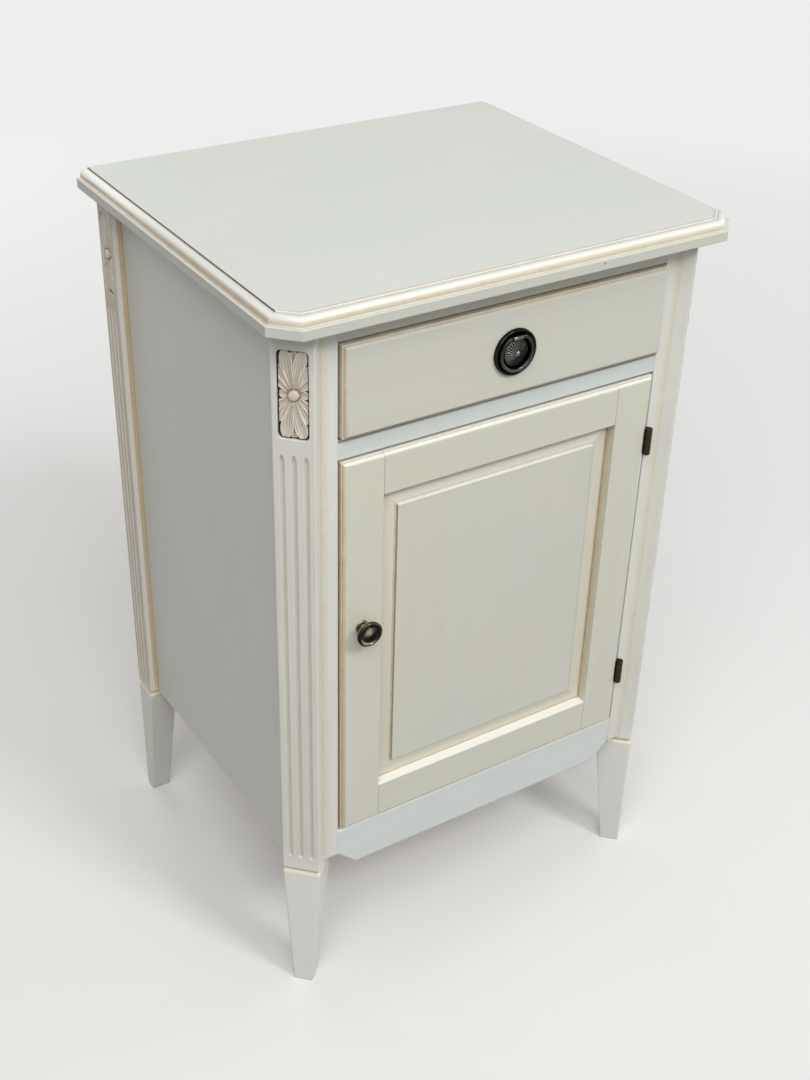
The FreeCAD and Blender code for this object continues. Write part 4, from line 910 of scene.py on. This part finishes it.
def makePullRing():
    axle, half, radius = ringAxle(), pull["ringEndHalf"], pull["ringRadius"]
    centre = Vector((0, axle.y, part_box("pull_ring")[0].z + pull["wireRadius"] + radius))
    path = ringPath(axle, centre)
    count, sides = len(path), pull["ringSides"]
    points, rubbedAndHighlight = [], []
    for k, (x, z) in enumerate(path):
        before, after = path[k - 1], path[(k + 1) % count]
        heading = Vector((after[0] - before[0], 0, after[1] - before[1])).normalized()
        outward = Vector((-heading.z, 0, heading.x))
        # thin on the axle, with a ball at each of its ends
        onAxle = abs(z - axle.z) < 1e-6 and abs(x) < half
        wire = pull["axleRadius"] if onAxle else pull["wireRadius"]
        toEnd = min(math.hypot(x - end * half, z - axle.z) for end in (-1, 1))
        ball = pull["collarRadius"] ** 2 - toEnd ** 2
        wire = max(wire, math.sqrt(ball)) if ball > 0 else wire
        # brighter on the front and towards the bottom: partly handling wear, partly painted highlight
        lowness = max(0.0, (centre.z - z) / radius)
        glintShare = pull["ringWearAndGlint"] * (pull["topWearAndGlint"] + (1 - pull["topWearAndGlint"]) * lowness)
        for side in range(sides):
            turn = 2 * math.pi * side / sides
            out = outward * wire * math.cos(turn) + Vector((0, wire * math.sin(turn), 0))
            points.append(Vector((x, axle.y, z)) + out)
            rubbedAndHighlight.append(glintShare * max(0.0, -math.sin(turn)) ** 3)
    piece = makePiece("pull_bow", points, ringFaces(count, sides, 0, True), "darkBronze", "pull_ring",
                      "pull_ring")
    setAttribute(piece, "wearAndGlint", rubbedAndHighlight)


makePullPlate()
makePullRing()
print("ring pull made")


# door knob: turned base, neck, swelling head with a dished face and a domed middle
knob = {
    "segments": 120, "headRadius": 0.012, "baseRadius": 0.0065, "neckRadius": 0.0032, "length": 0.016,
    "footRound": 0.0008, "neckHeights": (0.0055, 0.0074), "rimRound": 0.0011, "rimHeight": 0.0134,
    # cove over the foot: width, start and rise; the head's swell: start and rise
    "cove": (0.0012, 0.0022, 0.0016), "swell": (0.0082, 0.0040),
    # dish: share of the head, height and radius; dome: share of the head, start and rise
    "dish": (0.74, 0.0150, 0.0016), "dome": (0.585, 0.0141, 0.0019),
    # bright metal by direction, partly handling wear and partly painted highlight, on the dish and dome
    # painted highlight only: share, the turn it is strongest at, how fast it fades
    "wearAndGlints": {
        "foot": (0.42, 350, 1.5), "waist": (0.14, 320, 1.0), "wall": (0.58, 320, 0.7), "rim": (0.10, 30, 2.0),
        "dish": (0.55, 200, 9.0), "dome": (0.46, 335, 6.0),
    },
}


def sinCos(start, end, step):
    turns = [math.radians(degrees) for degrees in range(start, end, step)]
    return [(math.sin(turn), math.cos(turn)) for turn in turns]


# the profile's parts, from the door outwards
def knobParts():
    head, base, neck = knob["headRadius"], knob["baseRadius"], knob["neckRadius"]
    footRound, rimRound = knob["footRound"], knob["rimRound"]
    foot = [(base - 0.0004, 0.0)] + roundTurn((base - footRound, footRound), footRound, -60, 90, 8)
    foot += [(base - 0.0012, 0.0017), (neck + 0.0016, 0.0019)]
    width, start, rise = knob["cove"]
    waist = [(neck + width * (1 - sin), start + rise * (1 - cos)) for sin, cos in sinCos(0, 91, 15)]
    waist += [(neck, height) for height in knob["neckHeights"]]
    start, rise = knob["swell"]
    spread = head - 0.0002 - neck
    wall = [(neck + spread * sin ** 1.25, start + rise * (1 - cos) ** 1.1) for sin, cos in sinCos(9, 91, 9)]
    rim = roundTurn((head - rimRound, knob["rimHeight"]), rimRound, -30, 110, 10)
    share, height, radius = knob["dish"]
    dish = roundTurn((head * share, height), radius, -15, -165, 10)
    share, start, rise = knob["dome"]
    dome = [(head * share * cos, start + rise * sin) for sin, cos in sinCos(8, 90, 8)]
    return {"foot": foot, "waist": waist, "wall": wall, "rim": rim, "dish": dish, "dome": dome}


def makeKnob():
    parts, segments = knobParts(), knob["segments"]
    profile = [(0, 0.0)] + [ring for rings in parts.values() for ring in rings] + [(0, knob["length"])]
    points, faces = turnProfile(backMiddle("door_knob"), profile, segments)
    piece = makePiece("knob_turned", points, faces, "antiqueBrass", "door", "door_knob")
    bright = [0.0]
    for part, rings in parts.items():
        most, turn, fading = knob["wearAndGlints"][part]
        for ring in range(len(rings)):
            # on the knob's face the painted highlights start and end softly across the part
            across = math.sin(math.pi * (ring + 0.5) / len(rings)) if part in ("dish", "dome") else 1.0
            for step in range(segments):
                facing = 0.5 + 0.5 * math.cos(2 * math.pi * step / segments - math.radians(turn))
                bright.append(most * across * facing ** fading)
    setAttribute(piece, "wearAndGlint", bright + [0.0])


makeKnob()
print("knob turned")


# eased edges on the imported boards: flat faces joined up, then a small round of this width
easing = {
    0.0005: ["top_slab"] + pairs("front_stile", "side_panel"),
    0.0006: ["drawer_front", "door_rail_top", "door_rail_bottom", "door_panel", "top_rail", "middle_rail",
             "apron_rail"] + pairs("door_stile"),
    0.0008: ["drawer_back", "bottom_board", "rear_rail_top", "rear_rail_bottom", "back_panel"]
            + pairs("drawer_side", "drawer_kicker", "drawer_runner", "drawer_guide"),
    0.0002: hingeLeaves + ["catch_magnet", "catch_plate"],
}


def easeEdges(node, width):
    weld = node.modifiers.new("joinSeams", "WELD")
    weld.merge_threshold = 1e-6
    flatten = node.modifiers.new("joinFlats", "DECIMATE")
    flatten.decimate_type = "DISSOLVE"
    flatten.angle_limit = math.radians(0.5)
    ease = node.modifiers.new("easeEdges", "BEVEL")
    ease.width = width
    ease.segments = 2
    ease.limit_method = "ANGLE"
    ease.angle_limit = math.radians(38)
    ease.harden_normals = True


for width, names in easing.items():
    for name in names:
        easeEdges(nodes[name], width)
print("edges eased")


# pale studio: floor, backdrop and soft light
studio = {
    "floor": fromRgb(236, 236, 234),
    "floorBounce": fromRgb(116, 116, 114),
    "floorHalf": 9.0, "floorRoughness": 0.8,
    "plain": (0.9, 2.6), "plainLevel": 0.86,
    "world": 0.34,
    "backdrop": 0.86,
    "target": (0, 0, 0.40),
    # name: direction to the lamp, distance, size, power
    "lamps": {
        "keyLamp": ((0.07, -0.25, 0.25), 4.2, 0.9, 55.0),
        "fillLamp": ((-0.20, -0.29, 0.42), 4.6, 3.0, 104.0),
        "sideLamp": ((0.93, -0.06, 0.10), 3.2, 1.6, 22.0),
        "backLamp": ((-0.05, 0.85, 0.08), 3.2, 2.0, 34.0),
    },
}


def areaLamp(name, direction, distance, size, power):
    lamp = bpy.data.lights.new(name, "AREA")
    lamp.energy = power
    lamp.size = size
    holder = bpy.data.objects.new(name, lamp)
    toLamp = Vector(direction).normalized()
    holder.location = Vector(studio["target"]) + toLamp * distance
    holder.rotation_euler = (-toLamp).to_track_quat("-Z", "Y").to_euler()
    bpy.context.scene.collection.objects.link(holder)


# 1 for what is seen directly or in a reflection, 0 for light that only bounces
def seenRay(tree):
    path = addNode(tree, "ShaderNodeLightPath").outputs
    mirror = Level(path["Is Glossy Ray"]).atLeast(path["Is Transmission Ray"])
    return Level(path["Is Camera Ray"]).atLeast(mirror)


def buildFloor():
    half = studio["floorHalf"]
    mesh = bpy.data.meshes.new("studioFloor")
    corners = [(-half, -half, 0), (half, -half, 0), (half, half, 0), (-half, half, 0)]
    mesh.from_pydata(corners, [], [(0, 1, 2, 3)])
    floor = bpy.data.objects.new("studioFloor", mesh)
    bpy.context.scene.collection.objects.link(floor)
    material, tree, shader = newMaterial("studioFloor")
    seen = seenRay(tree)
    plug(blend(seen, studio["floorBounce"], studio["floor"]), shader.inputs["Base Color"])
    plug(studio["floorRoughness"], shader.inputs["Roughness"])
    # away from the object the floor turns into one plain pale level
    away = addNode(tree, "ShaderNodeVectorMath", {0: objectCoords(tree)}, operation="LENGTH").outputs["Value"]
    plain = addNode(tree, "ShaderNodeEmission", {"Strength": studio["plainLevel"]}).outputs[0]
    share = Level(away).ramp(*studio["plain"]) * seen
    mixed = addNode(tree, "ShaderNodeMixShader", {0: share, 1: shader.outputs[0], 2: plain}).outputs[0]
    plug(mixed, tree.nodes["Material Output"].inputs["Surface"])
    mesh.materials.append(material)


def buildLight():
    world = bpy.data.worlds.new("studioWorld")
    bpy.context.scene.world = world
    world.use_nodes = True
    ground = world.node_tree.nodes["Background"]
    plug((1, 1, 1, 1), ground.inputs["Color"])
    level = seenRay(world.node_tree).ramp(0, 1, studio["world"], studio["backdrop"])
    plug(level, ground.inputs["Strength"])
    for name, lamp in studio["lamps"].items():
        areaLamp(name, *lamp)
    bpy.context.scene.view_settings.view_transform = "Standard"


buildFloor()
buildLight()
print("studio built")
